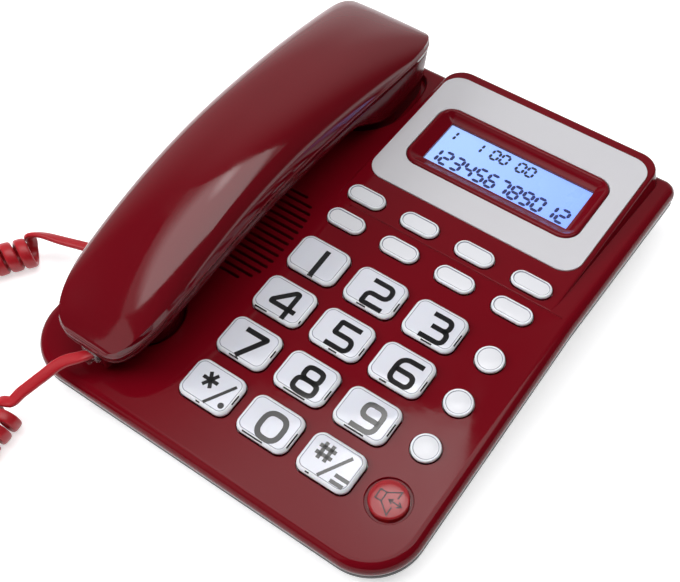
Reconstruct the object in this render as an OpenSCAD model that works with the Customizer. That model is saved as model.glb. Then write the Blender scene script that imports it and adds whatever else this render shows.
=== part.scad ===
// Corded desk telephone with big keys, a caller display and a cradled handset.
// Origin at the middle of the base, on the surface it stands on. +X right, +Y rear, +Z up.

/* [Base] */
// Width of the base
base_w = 169.5; // [160:0.5:210]
// Depth of the base
base_d = 210; // [205:1:250]
// Height of the key deck's plane at the front edge
front_h = 14.4; // [14:0.2:18]
// Slope of the key deck, rising to the rear, in degrees
deck_tilt = 7.2; // [6:0.1:9]
// Length of the key deck from the front edge to the fold, along the floor
deck_run = 119.8; // [116:0.2:125]
// Fall of the rear lip behind the fold, in degrees
lip_fall = 1.7; // [0.5:0.1:2.5]
// Wall of the top and bottom shells
wall = 2.2; // [1.8:0.1:2.8]
// Radius of the rounding along the top shell's edge
edge_r = 4; // [3:0.1:4.6]
// Straight band below the rounding
rim_h = 1.6; // [1:0.1:3]
// Corner radius at the front, seen from above
front_r = 21; // [15:1:24]
// Corner radius at the rear, seen from above
rear_r = 6; // [5:1:18]
// How far the bottom shell's floor is set in at the sides
floor_inset = 12; // [8:1:16]

/* [Display] */
// Slope of the display block, rising to the rear, in degrees
block_tilt = 2.7; // [2:0.1:4]
// From the handset's side to the display block
block_from_handset = 6.1; // [3.5:0.1:8]
// From the display block to the base's right edge
block_from_side = 9.2; // [8:0.1:12]
// From the fold to the front of the silver fascia
fascia_from_fold = 18.5; // [16:0.5:24]
// Side border of the block round the fascia
fascia_border = 1.9; // [1.2:0.1:3]
// Rear border of the block behind the fascia
fascia_rear_border = 5.1; // [1.5:0.1:6]
// Corner radius of the fascia
fascia_r = 8; // [5:0.5:12]
// Thickness of the fascia
fascia_t = 0.8; // [0.5:0.1:1.2]
// Width of the display bezel
bezel_w = 79; // [70:1:86]
// Depth of the display bezel
bezel_d = 35.6; // [30:0.2:40]
// Corner radius of the bezel
bezel_r = 7; // [4:0.5:9]
// Height of the bezel above the fascia
bezel_proud = 0.5; // [0.2:0.1:1]
// Width of the display window
window_w = 67; // [60:1:71]
// Depth of the display window
window_d = 22.4; // [18:0.2:25]
// From the fold to the middle of the display
display_from_fold = 50; // [48:0.5:56]

/* [Keys] */
// Width of a number key
key_w = 22.1; // [18:0.1:23]
// Depth of a number key
key_d = 16.6; // [14:0.1:17.5]
// Corner radius of a number key
key_r = 4; // [2:0.5:6]
// Height of a number key above the deck
key_h = 2.4; // [1.5:0.1:3.5]
// Spacing of the key columns
key_pitch_x = 26.5; // [26:0.1:28]
// Spacing of the key rows
key_pitch_y = 21.7; // [21:0.1:22.5]
// From the front edge to the middle of the last key row, along the deck
key_row_front = 27.3; // [26:0.1:30]
// From the handset's side to the middle of the first key column
key_col_left = 19.7; // [18:0.1:22]
// Running gap round each key and button
key_gap = 0.3; // [0.2:0.05:0.5]
// Travel of each key and button
key_travel = 1.5; // [1:0.1:1.6]
// Length of an oval button
oval_w = 16.6; // [13:0.1:20]
// Depth of an oval button
oval_d = 8; // [6.5:0.1:9]
// Height of the oval and round buttons above the deck
button_h = 1.6; // [1:0.1:2.2]
// Spacing of the oval buttons
oval_pitch = 25; // [24:0.1:27]
// Distance of each oval row from the fold
oval_from_fold = 7.2; // [6.6:0.1:8]
// Diameter of a round button
round_dia = 11; // [9:0.1:14]
// From the last key column to the round buttons
round_col = 23.9; // [22.5:0.1:26]
// Spacing of the round buttons
round_pitch = 20.8; // [20:0.1:22]
// Diameter of the loudspeaker button
speaker_button_dia = 14.5; // [12:0.1:16]

/* [Handset] */
// Width of the handset
handset_w = 46.5; // [42:0.5:56]
// Widening towards the ear end, as a share of the width
handset_taper = 0.055; // [0:0.005:0.08]
// Length of the handset
handset_l = 194; // [185:1:200]
// Gap between the handset's side and the base's left edge
handset_margin = 8.5; // [7:0.5:11]
// From the base's rear edge to the handset's rear end
handset_rear = 6; // [4:0.5:10]
// Height of the handset's side crease in the middle
crease_h = 53.5; // [50:0.5:58]
// Drop of the crease at the mouth end
crease_drop = 22.3; // [18:0.1:23]
// Fall of the crease at the ear end
crease_fall = 4.8; // [2:0.1:6]
// Height of the crown above the crease
crown_h = 16; // [12:0.5:20]
// Wall of the handset shells
handset_wall = 2.2; // [1.8:0.1:2.6]
// Depth of the handset's side band below the crease
band_h = 8.5; // [8:0.5:10]
// Depth of the ear cup's well below the rear lip
ear_well = 4.1; // [3.5:0.1:5.5]
// Radius of the mouth cup
mouth_r = 15; // [13:0.5:17]
// Depth of the mouth cup's well
mouth_well = 3.3; // [2.5:0.1:3.8]
// Gap between a seated cup and its well, below and around
seat_gap = 0.3; // [0.25:0.05:0.5]
// How far the handset lifts before it is clear
lift_h = 80; // [60:5:100]

/* [Cord] */
// Width of the flat cord
cord_w = 4.6; // [4:0.1:4.8]
// Thickness of the flat cord
cord_t = 2.2; // [2:0.1:2.4]
// Radius from the coil's middle to the cord's middle
curl_r = 5.4; // [5:0.1:6]
// Number of curls
curl_count = 47; // [30:1:48]
// Width of the cord plugs
plug_w = 7.6; // [7:0.1:8]
// Height of the cord plugs
plug_h = 6; // [5.5:0.1:6.4]

/* [Inside] */
// Diameter of the loudspeaker
speaker_dia = 50; // [40:1:52]
// Diameter of a battery
battery_dia = 10.5; // [10:0.1:10.5]
// Length of a battery
battery_l = 44.5; // [40:0.5:44.5]
// Radius of the hook button
hook_r = 3.5; // [2.5:0.1:4.5]
// Travel of the hook button
hook_travel = 4; // [3:0.1:4]
// Thickness of the circuit boards
board_t = 1.6; // [1.2:0.1:2]
// Radius of the base's rubber feet
foot_r = 6; // [4:0.5:8]
// Height of the rubber feet
foot_h = 1.2; // [1:0.1:2]

/* [Hidden] */

red = [0.43, 0.03, 0.07];
cord_red = [0.62, 0.1, 0.13];
charcoal = [0.2, 0.2, 0.21];
white = [0.86, 0.87, 0.9];
silver = [0.82, 0.82, 0.84];
board_green = [0.1, 0.36, 0.2];
steel = [0.6, 0.61, 0.63];
eps = 0.02;
hull_fn = 20;

// Base outline and planes.
front_y = -base_d / 2;
rear_y = base_d / 2;
fold_y = front_y + deck_run;
fold_h = front_h + deck_run * tan(deck_tilt);
deck_len = deck_run / cos(deck_tilt);
lip_run = rear_y - fold_y;
lip_len = lip_run / cos(lip_fall);
lip_h = edge_r + rim_h;
function deck_z(y) = front_h + (y - front_y) * tan(deck_tilt);
function lip_z(y) = fold_h - (y - fold_y) * tan(lip_fall);

// Handset place and shape.
handset_x = -base_w / 2 + handset_margin + handset_w / 2;
handset_end = rear_y - handset_rear;
handset_mid = handset_end - handset_l / 2;
handset_front = handset_end - handset_l;
crease_flat_y = handset_front + 112;
parting_drop = 2.6;
ear_y = handset_end - 27;
ear_r = handset_w / 2 + 0.4;
ear_floor = lip_z(ear_y) - ear_well;
mouth_y = (handset_front - front_y) / cos(deck_tilt) + mouth_r + 14;
well_gap = 0.8;

// Keys.
key_x0 = handset_x + handset_w / 2 + key_col_left;
key_y0 = key_row_front + 3 * key_pitch_y;
round_x = key_x0 + 2 * key_pitch_x + round_col;
round_y0 = key_y0 - 0.7;
oval_x0 = key_x0 - 2.1;
flange_t = 1.2;
flange_lip = 1;
oval_lip = 0.6;
flange_top = -wall - 0.3;
mat_top = flange_top - flange_t - key_travel - 0.2;
dome_h = 1.2;
mat_t = 1;
board_top = mat_top - dome_h - mat_t;
board_front = 16.2;
mat_front = board_front + 2.3;

// Display block.
block_left = handset_x + handset_w / 2 + block_from_handset;
block_right = base_w / 2 - block_from_side;
block_len = lip_run / cos(block_tilt);
block_edge = 1.2;
fascia_x0 = block_left + fascia_border;
fascia_x1 = block_right - fascia_border;
fascia_w = fascia_x1 - fascia_x0;
fascia_mid = (fascia_x0 + fascia_x1) / 2;
fascia_d = block_len - fascia_rear_border - fascia_from_fold;
bezel_drop = 3.2;
window_top = -2;
bezel_step = 1.5;

// Loudspeaker and its slots, on the deck.
speaker_x = handset_x + 4.5;
speaker_y = 92.5;
slot_w = 1.4;
slot_pitch = 3.2;
slot_count = 15;

// Bosses and screws: front left, front right, middle left, rear right.
boss_r = 3.6;
screw_r = 1.5;
screw_head_r = 3;
pillar_top = foot_h + 5.8;
boss_places = [[-base_w / 2 + 20, front_y + 13], [base_w / 2 - 16, front_y + 13],
  [-base_w / 2 + 16, fold_y + 19], [base_w / 2 - 20, rear_y - 17]];

// Battery bay under the display.
bay_x = fascia_mid - 6;
bay_y = rear_y - 36;
bay_w = battery_l + 5;
bay_d = 3 * battery_dia + 2.5;
door_w = bay_w + 8;
door_t = 1.6;
door_front = bay_y - bay_d / 2 - 4;
floor_rear = rear_y - 10;
pad_h = 5.4;

// Hook button in the ear well.
hook_y = ear_y - ear_r + 10;
hook_flange_z = ear_floor - wall - hook_travel - 0.3 - 1.5;
hook_stem_z = foot_h + wall + 8.6;

// Sockets.
socket_gap = 0.25;
socket_wall = 1.1;
jack_fit = 0.1;
jack_deep = 12;
chin_wall = 1.5;
plug_in = 9;
plug_out = 2.6;
base_jack_y = -50;
base_jack_z = 10.6;
base_jack_x = -base_w / 2 + 4;
handset_jack_z = crease_h - crease_drop - parting_drop - jack_h() / 2;
handset_jack_y = handset_front + 0.8;
line_x = fascia_mid - 50;
line_z = 12;
line_w = 9.7;
line_h = 6.7;
line_face = rear_y - 5;

function se(v, n) = sign(v) * pow(abs(v), 2 / n);

// ---- Shared shapes ----

// Flat outline with round corners, centred.
module rrect(w, d, r) {
  square([w - 2 * r, d], center = true);
  square([w, d - 2 * r], center = true);
  for (x = [-1, 1], y = [-1, 1]) translate([x * (w / 2 - r), y * (d / 2 - r)]) circle(r, $fn = 48);
}

// Outline with straight sides and half-round ends.
module pill(w, d) {
  square([w - d, d], center = true);
  for (x = [-1, 1]) translate([x * (w - d) / 2, 0]) circle(d / 2, $fn = 48);
}

module on_deck() {
  translate([0, front_y, front_h]) rotate([deck_tilt, 0, 0]) children();
}

module on_lip() {
  translate([0, fold_y, fold_h]) rotate([-lip_fall, 0, 0]) children();
}

module on_block() {
  translate([0, fold_y, fold_h]) rotate([block_tilt, 0, 0]) children();
}

// Round disc whose top edge is rounded, reaching down by `down`.
module edge_disc(r, er, top, down) {
  translate([0, 0, top - er]) rotate_extrude($fn = hull_fn) intersection() {
    translate([r - er, 0]) circle(er, $fn = hull_fn);
    square([r, er]);
  }
  translate([0, 0, top - down]) cylinder(r = r, h = down - er, $fn = hull_fn);
}

// The lid's outer body, or its cavity when inset by the wall.
module lid_body(inset, down) {
  hull() {
    on_deck() for (x = [-1, 1]) translate([x * (base_w / 2 - front_r), front_r, 0])
      edge_disc(front_r - inset, edge_r - inset, -inset, down);
    on_deck() for (x = [-1, 1]) translate([x * (base_w / 2 - edge_r), deck_len, 0])
      edge_disc(edge_r - inset + eps, edge_r - inset, -inset, down);
    on_lip() for (x = [-1, 1]) translate([x * (base_w / 2 - rear_r), lip_len - rear_r, 0])
      edge_disc(rear_r - inset, edge_r - inset, -inset, down);
  }
}

// Side outline of everything above the lid's lower edge, as a wide extrusion.
module above_rim(extra) {
  rotate([90, 0, 90]) translate([0, 0, -base_w])
    linear_extrude(2 * base_w) polygon([
      [front_y - 9, deck_z(front_y - 9) - lip_h - extra],
      [fold_y, fold_h - lip_h - extra],
      [rear_y + 9, lip_z(rear_y + 9) - lip_h - extra],
      [rear_y + 9, fold_h + 40], [front_y - 9, fold_h + 40]]);
}

// The display block, from a thin edge at the fold to its full height at the rear.
module block_body(inset) {
  low = 9;
  flare = 2.6;
  on_block() hull() for (side = [0, 1]) {
    x = side == 0 ? block_left : block_right;
    s = side == 0 ? 1 : -1;
    translate([x + s * (block_edge + inset), block_edge + inset, 0])
      edge_disc(block_edge, block_edge * 0.9, -inset, 3 * block_edge);
    translate([x + s * (9 + inset), block_len - 9 - inset, 0])
      edge_disc(9, block_edge, -inset, 3);
    translate([x - s * (flare - 9 - inset), block_len - 9.5 - inset, -low])
      cylinder(r = 9, h = 1, $fn = hull_fn);
    translate([x - s * (flare - 2 - inset), 3 + inset, -low]) cylinder(r = 2, h = 1, $fn = hull_fn);
  }
}

// ---- Handset shape ----

function handset_s(y) = (y - handset_mid) / (handset_l / 2);
function plan_n(y) = y < handset_mid ? 7.5 : 9;
function half_w(y) = handset_w / 2 * (1 + handset_taper * handset_s(y))
  * pow(max(0, 1 - pow(abs(handset_s(y)), plan_n(y))), 1 / plan_n(y));
function crease_z(y) = y < crease_flat_y
  ? crease_h - crease_drop * pow((crease_flat_y - y) / (crease_flat_y - handset_front), 2.3)
  : crease_h - crease_fall * pow((y - crease_flat_y) / (handset_end - crease_flat_y), 2);
function crown_over(y) = crown_h * pow(max(0, 1 - pow(abs(handset_s(y)), 1.7)), 0.5);
// The side band is shallower towards the mouth end.
function belly_z(y) = crease_z(y) - band_h + 2.5 * max(0, (handset_front + 34 - y) / 34);
stations = 30;
function station_y(i, inset) = handset_mid
  + (handset_l / 2 - inset) * sin(88.4 * (2 * i / stations - 1));

// Outline at one station, from the parting line over the crown.
function crown_loop(y, inset) = let(
    w = half_w(y) - inset,
    base = crease_z(y) - parting_drop,
    zc = crease_z(y),
    h = max(0.6, crown_over(y) - inset))
  concat([[w, base - (inset > 0 ? 1 : 0)]],
    [for (a = [0:15:180]) [w * se(cos(a), 3.6), zc + h * se(sin(a), 2)]],
    [[-w, base - (inset > 0 ? 1 : 0)]]);

// Outline at one station, from the parting line down to the belly.
function belly_loop(y, inset) = let(
    w = half_w(y) - inset,
    top = crease_z(y) - parting_drop + (inset > 0 ? 1 : 0),
    low = belly_z(y) + inset,
    r = max(0.5, min(2.6 - inset * 0.6, w / 2)))
  [[w, top], [-w, top], [-w, low + r], [-w + 0.3 * r, low + 0.3 * r], [-w + r, low],
   [w - r, low], [w - 0.3 * r, low + 0.3 * r], [w, low + r]];

// Solid through a list of outlines that all have the same number of points.
module loft(loops, ys) {
  n = len(loops[0]);
  m = len(loops);
  pts = [for (k = [0:m - 1]) for (p = loops[k]) [handset_x + p[0], ys[k], p[1]]];
  sides = [for (k = [0:m - 2]) for (j = [0:n - 1]) let(a = k * n + j, b = k * n + (j + 1) % n)
    each [[a, b, b + n], [a, b + n, a + n]]];
  first = [[for (j = [n - 1:-1:0]) j]];
  last = [[for (j = [0:n - 1]) (m - 1) * n + j]];
  polyhedron(points = pts, faces = concat(sides, first, last), convexity = 4);
}

module crown_solid(inset) {
  ys = [for (i = [0:stations]) station_y(i, inset)];
  loft([for (y = ys) crown_loop(y, inset)], ys);
}

module belly_solid(inset) {
  ys = [for (i = [0:stations]) station_y(i, inset)];
  loft([for (y = ys) belly_loop(y, inset)], ys);
}

// Ear cup outline seen from above, set in by `inset` or out when negative.
module ear_outline(inset) {
  steps = 24;
  reach = handset_end - 0.6 - inset - ear_y;
  edge = [for (i = [0:steps]) let(y = ear_y + reach * sin(90 * i / steps))
    [half_w(min(y, handset_end - 0.6)) - inset, y]];
  translate([handset_x, 0]) {
    translate([0, ear_y]) circle(ear_r - 0.2 - inset, $fn = 64);
    polygon(concat(edge, [for (i = [steps:-1:0]) [-edge[i][0], edge[i][1]]]));
  }
}

module mouth_cup_shape(r, low, high) {
  on_deck() translate([handset_x, mouth_y, low]) cylinder(r = r, h = high - low, $fn = 64);
}

// ---- Cord ----

// Middle line of the curls on the floor, from the handset's tail round to the base's tail.
coil_z = curl_r + cord_t / 2 + 0.1;
spine = [
  [-74, -117], [-72, -127], [-69, -140], [-68, -155], [-71, -171], [-79, -187], [-93, -198],
  [-110, -202], [-127, -198], [-141, -187], [-150, -172], [-154, -156], [-153, -139], [-149, -121],
  [-142, -104], [-133, -88], [-125, -75], [-117.5, -64], [-112, -56]];
spine_n = len(spine) - 3;

// Catmull-Rom curve through points whose first and last only steer it, u from 0 to len - 3.
function curve(p, u) = let(
    i = min(floor(u), len(p) - 4), f = u - i,
    a = p[i], b = p[i + 1], c = p[i + 2], d = p[i + 3])
  0.5 * (2 * b + (c - a) * f + (2 * a - 5 * b + 4 * c - d) * f * f
    + (3 * b - a - 3 * c + d) * f * f * f);
function unit(v) = v / max(1e-9, norm(v));

// The spine's length, to space the curls evenly.
fine = 12;
fine_n = spine_n * fine;
spine_pts = [for (k = [0:fine_n]) curve(spine, k / fine)];
steps_len = [for (k = [1:fine_n]) norm(spine_pts[k] - spine_pts[k - 1])];
function running(v, i = 0, acc = 0) = i >= len(v) ? [acc]
  : concat([acc], running(v, i + 1, acc + v[i]));
coil_len = running(steps_len);
coil_total = coil_len[len(coil_len) - 1];
function find_k(s, lo, hi) = hi - lo <= 1 ? lo
  : let(mid = floor((lo + hi) / 2)) coil_len[mid] > s ? find_k(s, lo, mid) : find_k(s, mid, hi);
function spine_u(s) = let(k = find_k(max(0, min(s, coil_total - 1e-6)), 0, len(coil_len) - 1))
  (k + (s - coil_len[k]) / (coil_len[k + 1] - coil_len[k])) / fine;

// The curls start on top of the coil and end a quarter turn short of it, at the far side.
rings_per_curl = 8;
coil_turns = curl_count - 0.25;
curl_pitch = coil_total / coil_turns;
function curl_point(t) = let(
    u = spine_u(t * curl_pitch), mid = curve(spine, u),
    dir = unit(curve(spine, min(spine_n, u + 0.03)) - curve(spine, max(0, u - 0.03))),
    side = [-dir[1], dir[0], 0], up = [0, 0, 1],
    out = side * cos(90 + 360 * t) + up * sin(90 + 360 * t))
  [[mid[0], mid[1], coil_z] + curl_r * out, out];
// Centre, flat side's normal and direction of the cord at turn t.
function curl_frame(t) = concat(curl_point(t),
  [unit(curl_point(min(coil_turns, t + 0.02))[0] - curl_point(max(0, t - 0.02))[0])]);
curl_frames = [for (i = [0:coil_turns * rings_per_curl]) curl_frame(i / rings_per_curl)];
first_curl = curl_frames[0];
last_curl = curl_frames[len(curl_frames) - 1];

// Tails: straight out of the plug for a cord's width, then by hand-chosen points to the curls.
exit_pt = [handset_x, handset_jack_y - plug_out, handset_jack_z];
entry_pt = [base_jack_x - plug_out, base_jack_y, base_jack_z];
function steered(p, d0, d1) = let(n = len(p) - 1)
  concat([p[1] - 2 * norm(p[1] - p[0]) * d0], p, [p[n - 1] + 2 * norm(p[n] - p[n - 1]) * d1]);
tail_a = steered([exit_pt - [0, cord_w, 0], [-60, -107, 20.4], [-66, -115, 15.5], [-68.6, -122.5, 12.9],
  first_curl[0]], [0, -1, 0], first_curl[2]);
tail_b = steered([last_curl[0], [-125, -61, 11], [-122, -57.4, 13.2], [-110, -54.6, 12],
  entry_pt - [cord_w, 0, 0]], last_curl[2], [1, 0, 0]);
tail_steps = 16;

// Frames along a tail, its flat side turning from normal n0 to n1.
function tail_frames(p, n0, n1) = [for (k = [0:tail_steps]) let(
    u = (len(p) - 3) * k / tail_steps, top = len(p) - 3,
    dir = unit(curve(p, min(top, u + 0.02)) - curve(p, max(0, u - 0.02))),
    blend = k / tail_steps, n = n0 * (1 - blend) + n1 * blend)
  [curve(p, u), n, dir]];

// Six-sided flat section at a centre, given the flat side's normal and the direction.
function ribbon_ring(f) = let(
    n = unit(f[1] - f[2] * (f[1] * f[2])), w = cross(f[2], n),
    a = cord_w / 2, b = cord_w / 2 - 0.7, h = cord_t / 2)
  [f[0] + w * a, f[0] + w * b + n * h, f[0] - w * b + n * h, f[0] - w * a, f[0] - w * b - n * h,
    f[0] + w * b - n * h];

// Unbroken tube through frames.
module ribbon(frames) {
  m = len(frames);
  pts = [for (f = frames) each ribbon_ring(f)];
  sides = [for (k = [0:m - 2]) for (j = [0:5]) let(a = k * 6 + j, b = k * 6 + (j + 1) % 6)
    each [[a, b + 6, b], [a, a + 6, b + 6]]];
  first = [for (j = [1:4]) [0, j, j + 1]];
  last = [for (j = [1:4]) [(m - 1) * 6, (m - 1) * 6 + j + 1, (m - 1) * 6 + j]];
  polyhedron(points = pts, faces = concat(sides, first, last), convexity = 8);
}

// Least gap of the curls to themselves: each section's edges to those about a turn later.
curl_rings = [for (f = curl_frames) ribbon_ring(f)];
least_gap = min([for (k = [0:len(curl_rings) - 12]) for (m = [5:11]) for (p = curl_rings[k])
  for (q = curl_rings[k + m]) norm(p - q)]);
// Length of the whole cord along its middle, plug to plug.
function path_len(p) = len(p) < 2 ? 0 : let(d = [for (i = [1:len(p) - 1]) norm(p[i] - p[i - 1])])
  d * [for (x = d) 1];
up_axis = [0, 0, 1];
frames_a = concat([[exit_pt, up_axis, [0, -1, 0]]], tail_frames(tail_a, up_axis, first_curl[1]));
frames_b = concat(tail_frames(tail_b, last_curl[1], up_axis), [[entry_pt, up_axis, [1, 0, 0]]]);
cord_length = path_len([for (f = frames_a) f[0]]) + path_len([for (f = frames_b) f[0]])
  + coil_turns * norm([2 * PI * curl_r, curl_pitch]);

// ---- Base ----

module key_hole(w, d, r) {
  translate([0, 0, -wall - 12]) linear_extrude(wall + 30)
    rrect(w + 2 * key_gap, d + 2 * key_gap, r + key_gap);
}

module oval_hole() {
  translate([0, 0, -wall - 12]) linear_extrude(wall + 30)
    pill(oval_w + 2 * key_gap, oval_d + 2 * key_gap);
}

module round_hole(dia) {
  translate([0, 0, -wall - 12]) cylinder(d = dia + 2 * key_gap, h = wall + 30, $fn = 64);
}

function key_place(i) = [key_x0 + (i % 3) * key_pitch_x, key_y0 - floor(i / 3) * key_pitch_y, 0];
function oval_place(i) = [oval_x0 + i * oval_pitch, 0, 0];
lower_oval_y = deck_len - oval_from_fold;
upper_oval_y = oval_from_fold - 0.4;

module deck_cuts() {
  on_deck() {
    for (i = [0:11]) translate(key_place(i)) key_hole(key_w, key_d, key_r);
    for (i = [0:3]) translate(oval_place(i) + [0, lower_oval_y, 0]) oval_hole();
    for (i = [0:2]) translate([round_x, round_y0 - i * round_pitch, 0]) round_hole(round_dia);
    translate([round_x, key_row_front, 0]) round_hole(speaker_button_dia);
    translate([round_x, key_row_front, -0.9])
      cylinder(d = speaker_button_dia + 2.4, h = 20, $fn = 64);
    speaker_slots();
    translate([block_left + 8, deck_len - 0.6, -0.4]) cube([base_w / 2 - block_left - 13, 1.2, 2]);
  }
  on_block() {
    for (i = [0:3]) translate(oval_place(i) + [0, upper_oval_y, 0]) oval_hole();
    translate([fascia_mid, display_from_fold, -14]) linear_extrude(30)
      rrect(bezel_w - 2 * bezel_step + 0.4, bezel_d - 2 * bezel_step + 0.4, bezel_r - bezel_step);
  }
}

// Slots over the loudspeaker, shorter towards the first and last.
module speaker_slots() {
  for (i = [0:slot_count - 1]) {
    t = (i - (slot_count - 1) / 2) / (slot_count / 2);
    half = (speaker_dia / 2 - 1.5) * pow(1 - pow(abs(t), 4), 0.25);
    translate([speaker_x, speaker_y + (i - (slot_count - 1) / 2) * slot_pitch, -wall - 1])
      linear_extrude(wall + 3) pill(2 * half, slot_w);
  }
}

// Trays that hold the cups, before the wells are cut into them.
module cradle_pans() {
  intersection() {
    union() {
      translate([0, 0, ear_floor - wall]) linear_extrude(16) ear_outline(-well_gap - wall);
      mouth_cup_shape(mouth_r + well_gap + wall, -mouth_well - wall, -1);
    }
    lid_body(0, 40);
  }
}

module cradle_wells() {
  translate([0, 0, ear_floor]) linear_extrude(30) ear_outline(-well_gap);
  mouth_cup_shape(mouth_r + well_gap, -mouth_well, 20);
  translate([handset_x, hook_y, ear_floor - wall - 1]) cylinder(r = hook_r + 0.3, h = 6, $fn = 48);
}

// Height of the shell's outer face over a screw boss.
function boss_roof(i) = let(y = boss_places[i][1])
  i < 2 ? deck_z(y) : i == 2 ? lip_z(y) : fold_h + (y - fold_y) * tan(block_tilt);

// Screw bosses, from the bottom shell's pillars into the middle of the roof's wall.
module screw_bosses() {
  for (i = [0:3]) translate([boss_places[i][0], boss_places[i][1], pillar_top + 0.1]) difference() {
    cylinder(r = boss_r, h = boss_roof(i) - wall / 2 - pillar_top - 0.1, $fn = 48);
    translate([0, 0, -1]) cylinder(r = screw_r + 0.05, h = 6.4, $fn = 48);
  }
}

module base_top_shell() color(red) difference() {
  union() {
    difference() {
      union() {
        intersection() {
          lid_body(0, 24);
          above_rim(0);
        }
        intersection() {
          block_body(0);
          above_rim(-lip_h + wall);
        }
      }
      lid_body(wall, 60);
      block_body(wall);
    }
    cradle_pans();
    screw_bosses();
  }
  cradle_wells();
  deck_cuts();
}

module tub_body(inset, lift) {
  r = 12 - inset;
  hull() {
    translate([0, 0, foot_h + lift]) {
      for (x = [-1, 1]) translate([x * (base_w / 2 - floor_inset - 12), front_y + 17, 0])
        cylinder(r = r, h = 0.5, $fn = hull_fn);
      for (x = [-1, 1]) translate([x * (base_w / 2 - floor_inset - 12), floor_rear - 12, 0])
        cylinder(r = r, h = 0.5, $fn = hull_fn);
    }
    on_deck() for (x = [-1, 1]) translate([x * (base_w / 2 - front_r), front_r, -lip_h - 0.6])
      cylinder(r = front_r - 1.2 - inset, h = 0.5, $fn = hull_fn);
    on_deck() for (x = [-1, 1]) translate([x * (base_w / 2 - 6), deck_len - 0.3, -lip_h - 0.6])
      cylinder(r = 6 - 1.2 - inset, h = 0.5, $fn = hull_fn);
    on_lip() for (x = [-1, 1]) translate([x * (base_w / 2 - rear_r), lip_len - rear_r, -lip_h - 0.6])
      cylinder(r = rear_r - 1.2 - inset, h = 0.5, $fn = hull_fn);
  }
}

module base_bottom_shell() color(charcoal) difference() {
  union() {
    difference() {
      tub_body(0, 0);
      tub_body(wall, wall);
      above_rim(0.7);
    }
    for (p = boss_places) translate([p[0], p[1], foot_h]) cylinder(r = 5, h = 5.8, $fn = 48);
    translate([bay_x - door_w / 2 - 4, door_front - 3, foot_h])
      cube([door_w + 8, floor_rear - door_front + 1, pad_h]);
    translate([handset_x, hook_y, foot_h]) cylinder(r = 2, h = wall + 5, $fn = 48);
  }
  for (p = boss_places) translate([p[0], p[1], foot_h - 1]) {
    cylinder(r = screw_r + 0.3, h = 12, $fn = 48);
    cylinder(r = screw_head_r + 0.3, h = 1 + 2.8, $fn = 48);
  }
  // Battery bay, door seat and the door's side grooves, open at the rear.
  translate([bay_x - bay_w / 2, bay_y - bay_d / 2, foot_h - 1]) cube([bay_w, bay_d, 20]);
  translate([bay_x - door_w / 2 - 0.3, door_front - 0.3, foot_h - 1])
    cube([door_w + 0.6, 60, 1 + door_t + 0.5]);
  translate([bay_x - door_w / 2 - 1.8, door_front - 0.3, foot_h + door_t - 0.1])
    cube([door_w + 3.6, 60, 1.5]);
  // Socket openings at the left and the rear.
  translate([-base_w / 2 - 5, base_jack_y - jack_w() / 2 - 0.2, base_jack_z - jack_h() / 2 - 0.2])
    cube([22, jack_w() + 0.4, jack_h() + 0.4]);
  translate([line_x - line_w / 2 - socket_wall - 0.2, rear_y - 24, line_z - line_h / 2 - 1.4])
    cube([line_w + 2 * socket_wall + 0.4, 30, line_h + 2.8]);
}

function jack_w() = plug_w + 2 * socket_gap + 2 * socket_wall;
function jack_h() = plug_h + 2 * socket_gap + 2 * socket_wall;

// Socket body whose mouth faces -Y, its face at the origin, with room for a plug.
module socket_body(w, h, depth, deep) {
  difference() {
    translate([-w / 2 - socket_wall, 0, -h / 2 - socket_wall])
      cube([w + 2 * socket_wall, deep, h + 2 * socket_wall]);
    translate([-w / 2, -1, -h / 2]) cube([w, depth + 1, h]);
  }
}

module rubber_feet() color(charcoal)
  for (x = [-1, 1], y = [front_y + 26, floor_rear - 9])
    translate([x * (base_w / 2 - floor_inset - 9), y, 0]) cylinder(r = foot_r, h = foot_h, $fn = 48);

module base_screws() color(steel) for (p = boss_places) translate([p[0], p[1], foot_h + 0.8]) {
  cylinder(r = screw_head_r, h = 2, $fn = 48);
  cylinder(r = screw_r, h = 9.6, $fn = 48);
}

module battery_door() color(charcoal) {
  translate([bay_x - door_w / 2, door_front, foot_h + 0.1])
    cube([door_w, floor_rear - door_front - 0.2, door_t]);
  translate([bay_x - door_w / 2 - 1.5, door_front, foot_h + door_t + 0.1 - eps])
    cube([door_w + 3, floor_rear - door_front - 0.2, 1]);
}

battery_z = foot_h + door_t + 1.1 + 0.3 + battery_dia / 2;

module batteries() color(steel) for (i = [-1:1])
  translate([bay_x - battery_l / 2 + 0.5, bay_y + i * (battery_dia + 0.3), battery_z])
    rotate([0, 90, 0]) {
      cylinder(d = battery_dia, h = battery_l - 1, $fn = 48);
      cylinder(d = battery_dia * 0.4, h = battery_l, $fn = 48);
    }

module battery_contacts() color(steel) for (x = [-1, 1])
  translate([bay_x + x * (bay_w / 2 - 0.9) - 0.25, bay_y - bay_d / 2 + 1, foot_h + door_t + 1.4])
    cube([0.5, bay_d - 2, battery_dia]);

// ---- Display ----

module display_fascia() color(silver) on_block()
  translate([0, 0, 0]) linear_extrude(fascia_t) difference() {
    translate([fascia_mid, fascia_from_fold + fascia_d / 2]) rrect(fascia_w, fascia_d, fascia_r);
    translate([fascia_mid, display_from_fold]) rrect(bezel_w + 0.4, bezel_d + 0.4, bezel_r + 0.2);
  }

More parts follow.
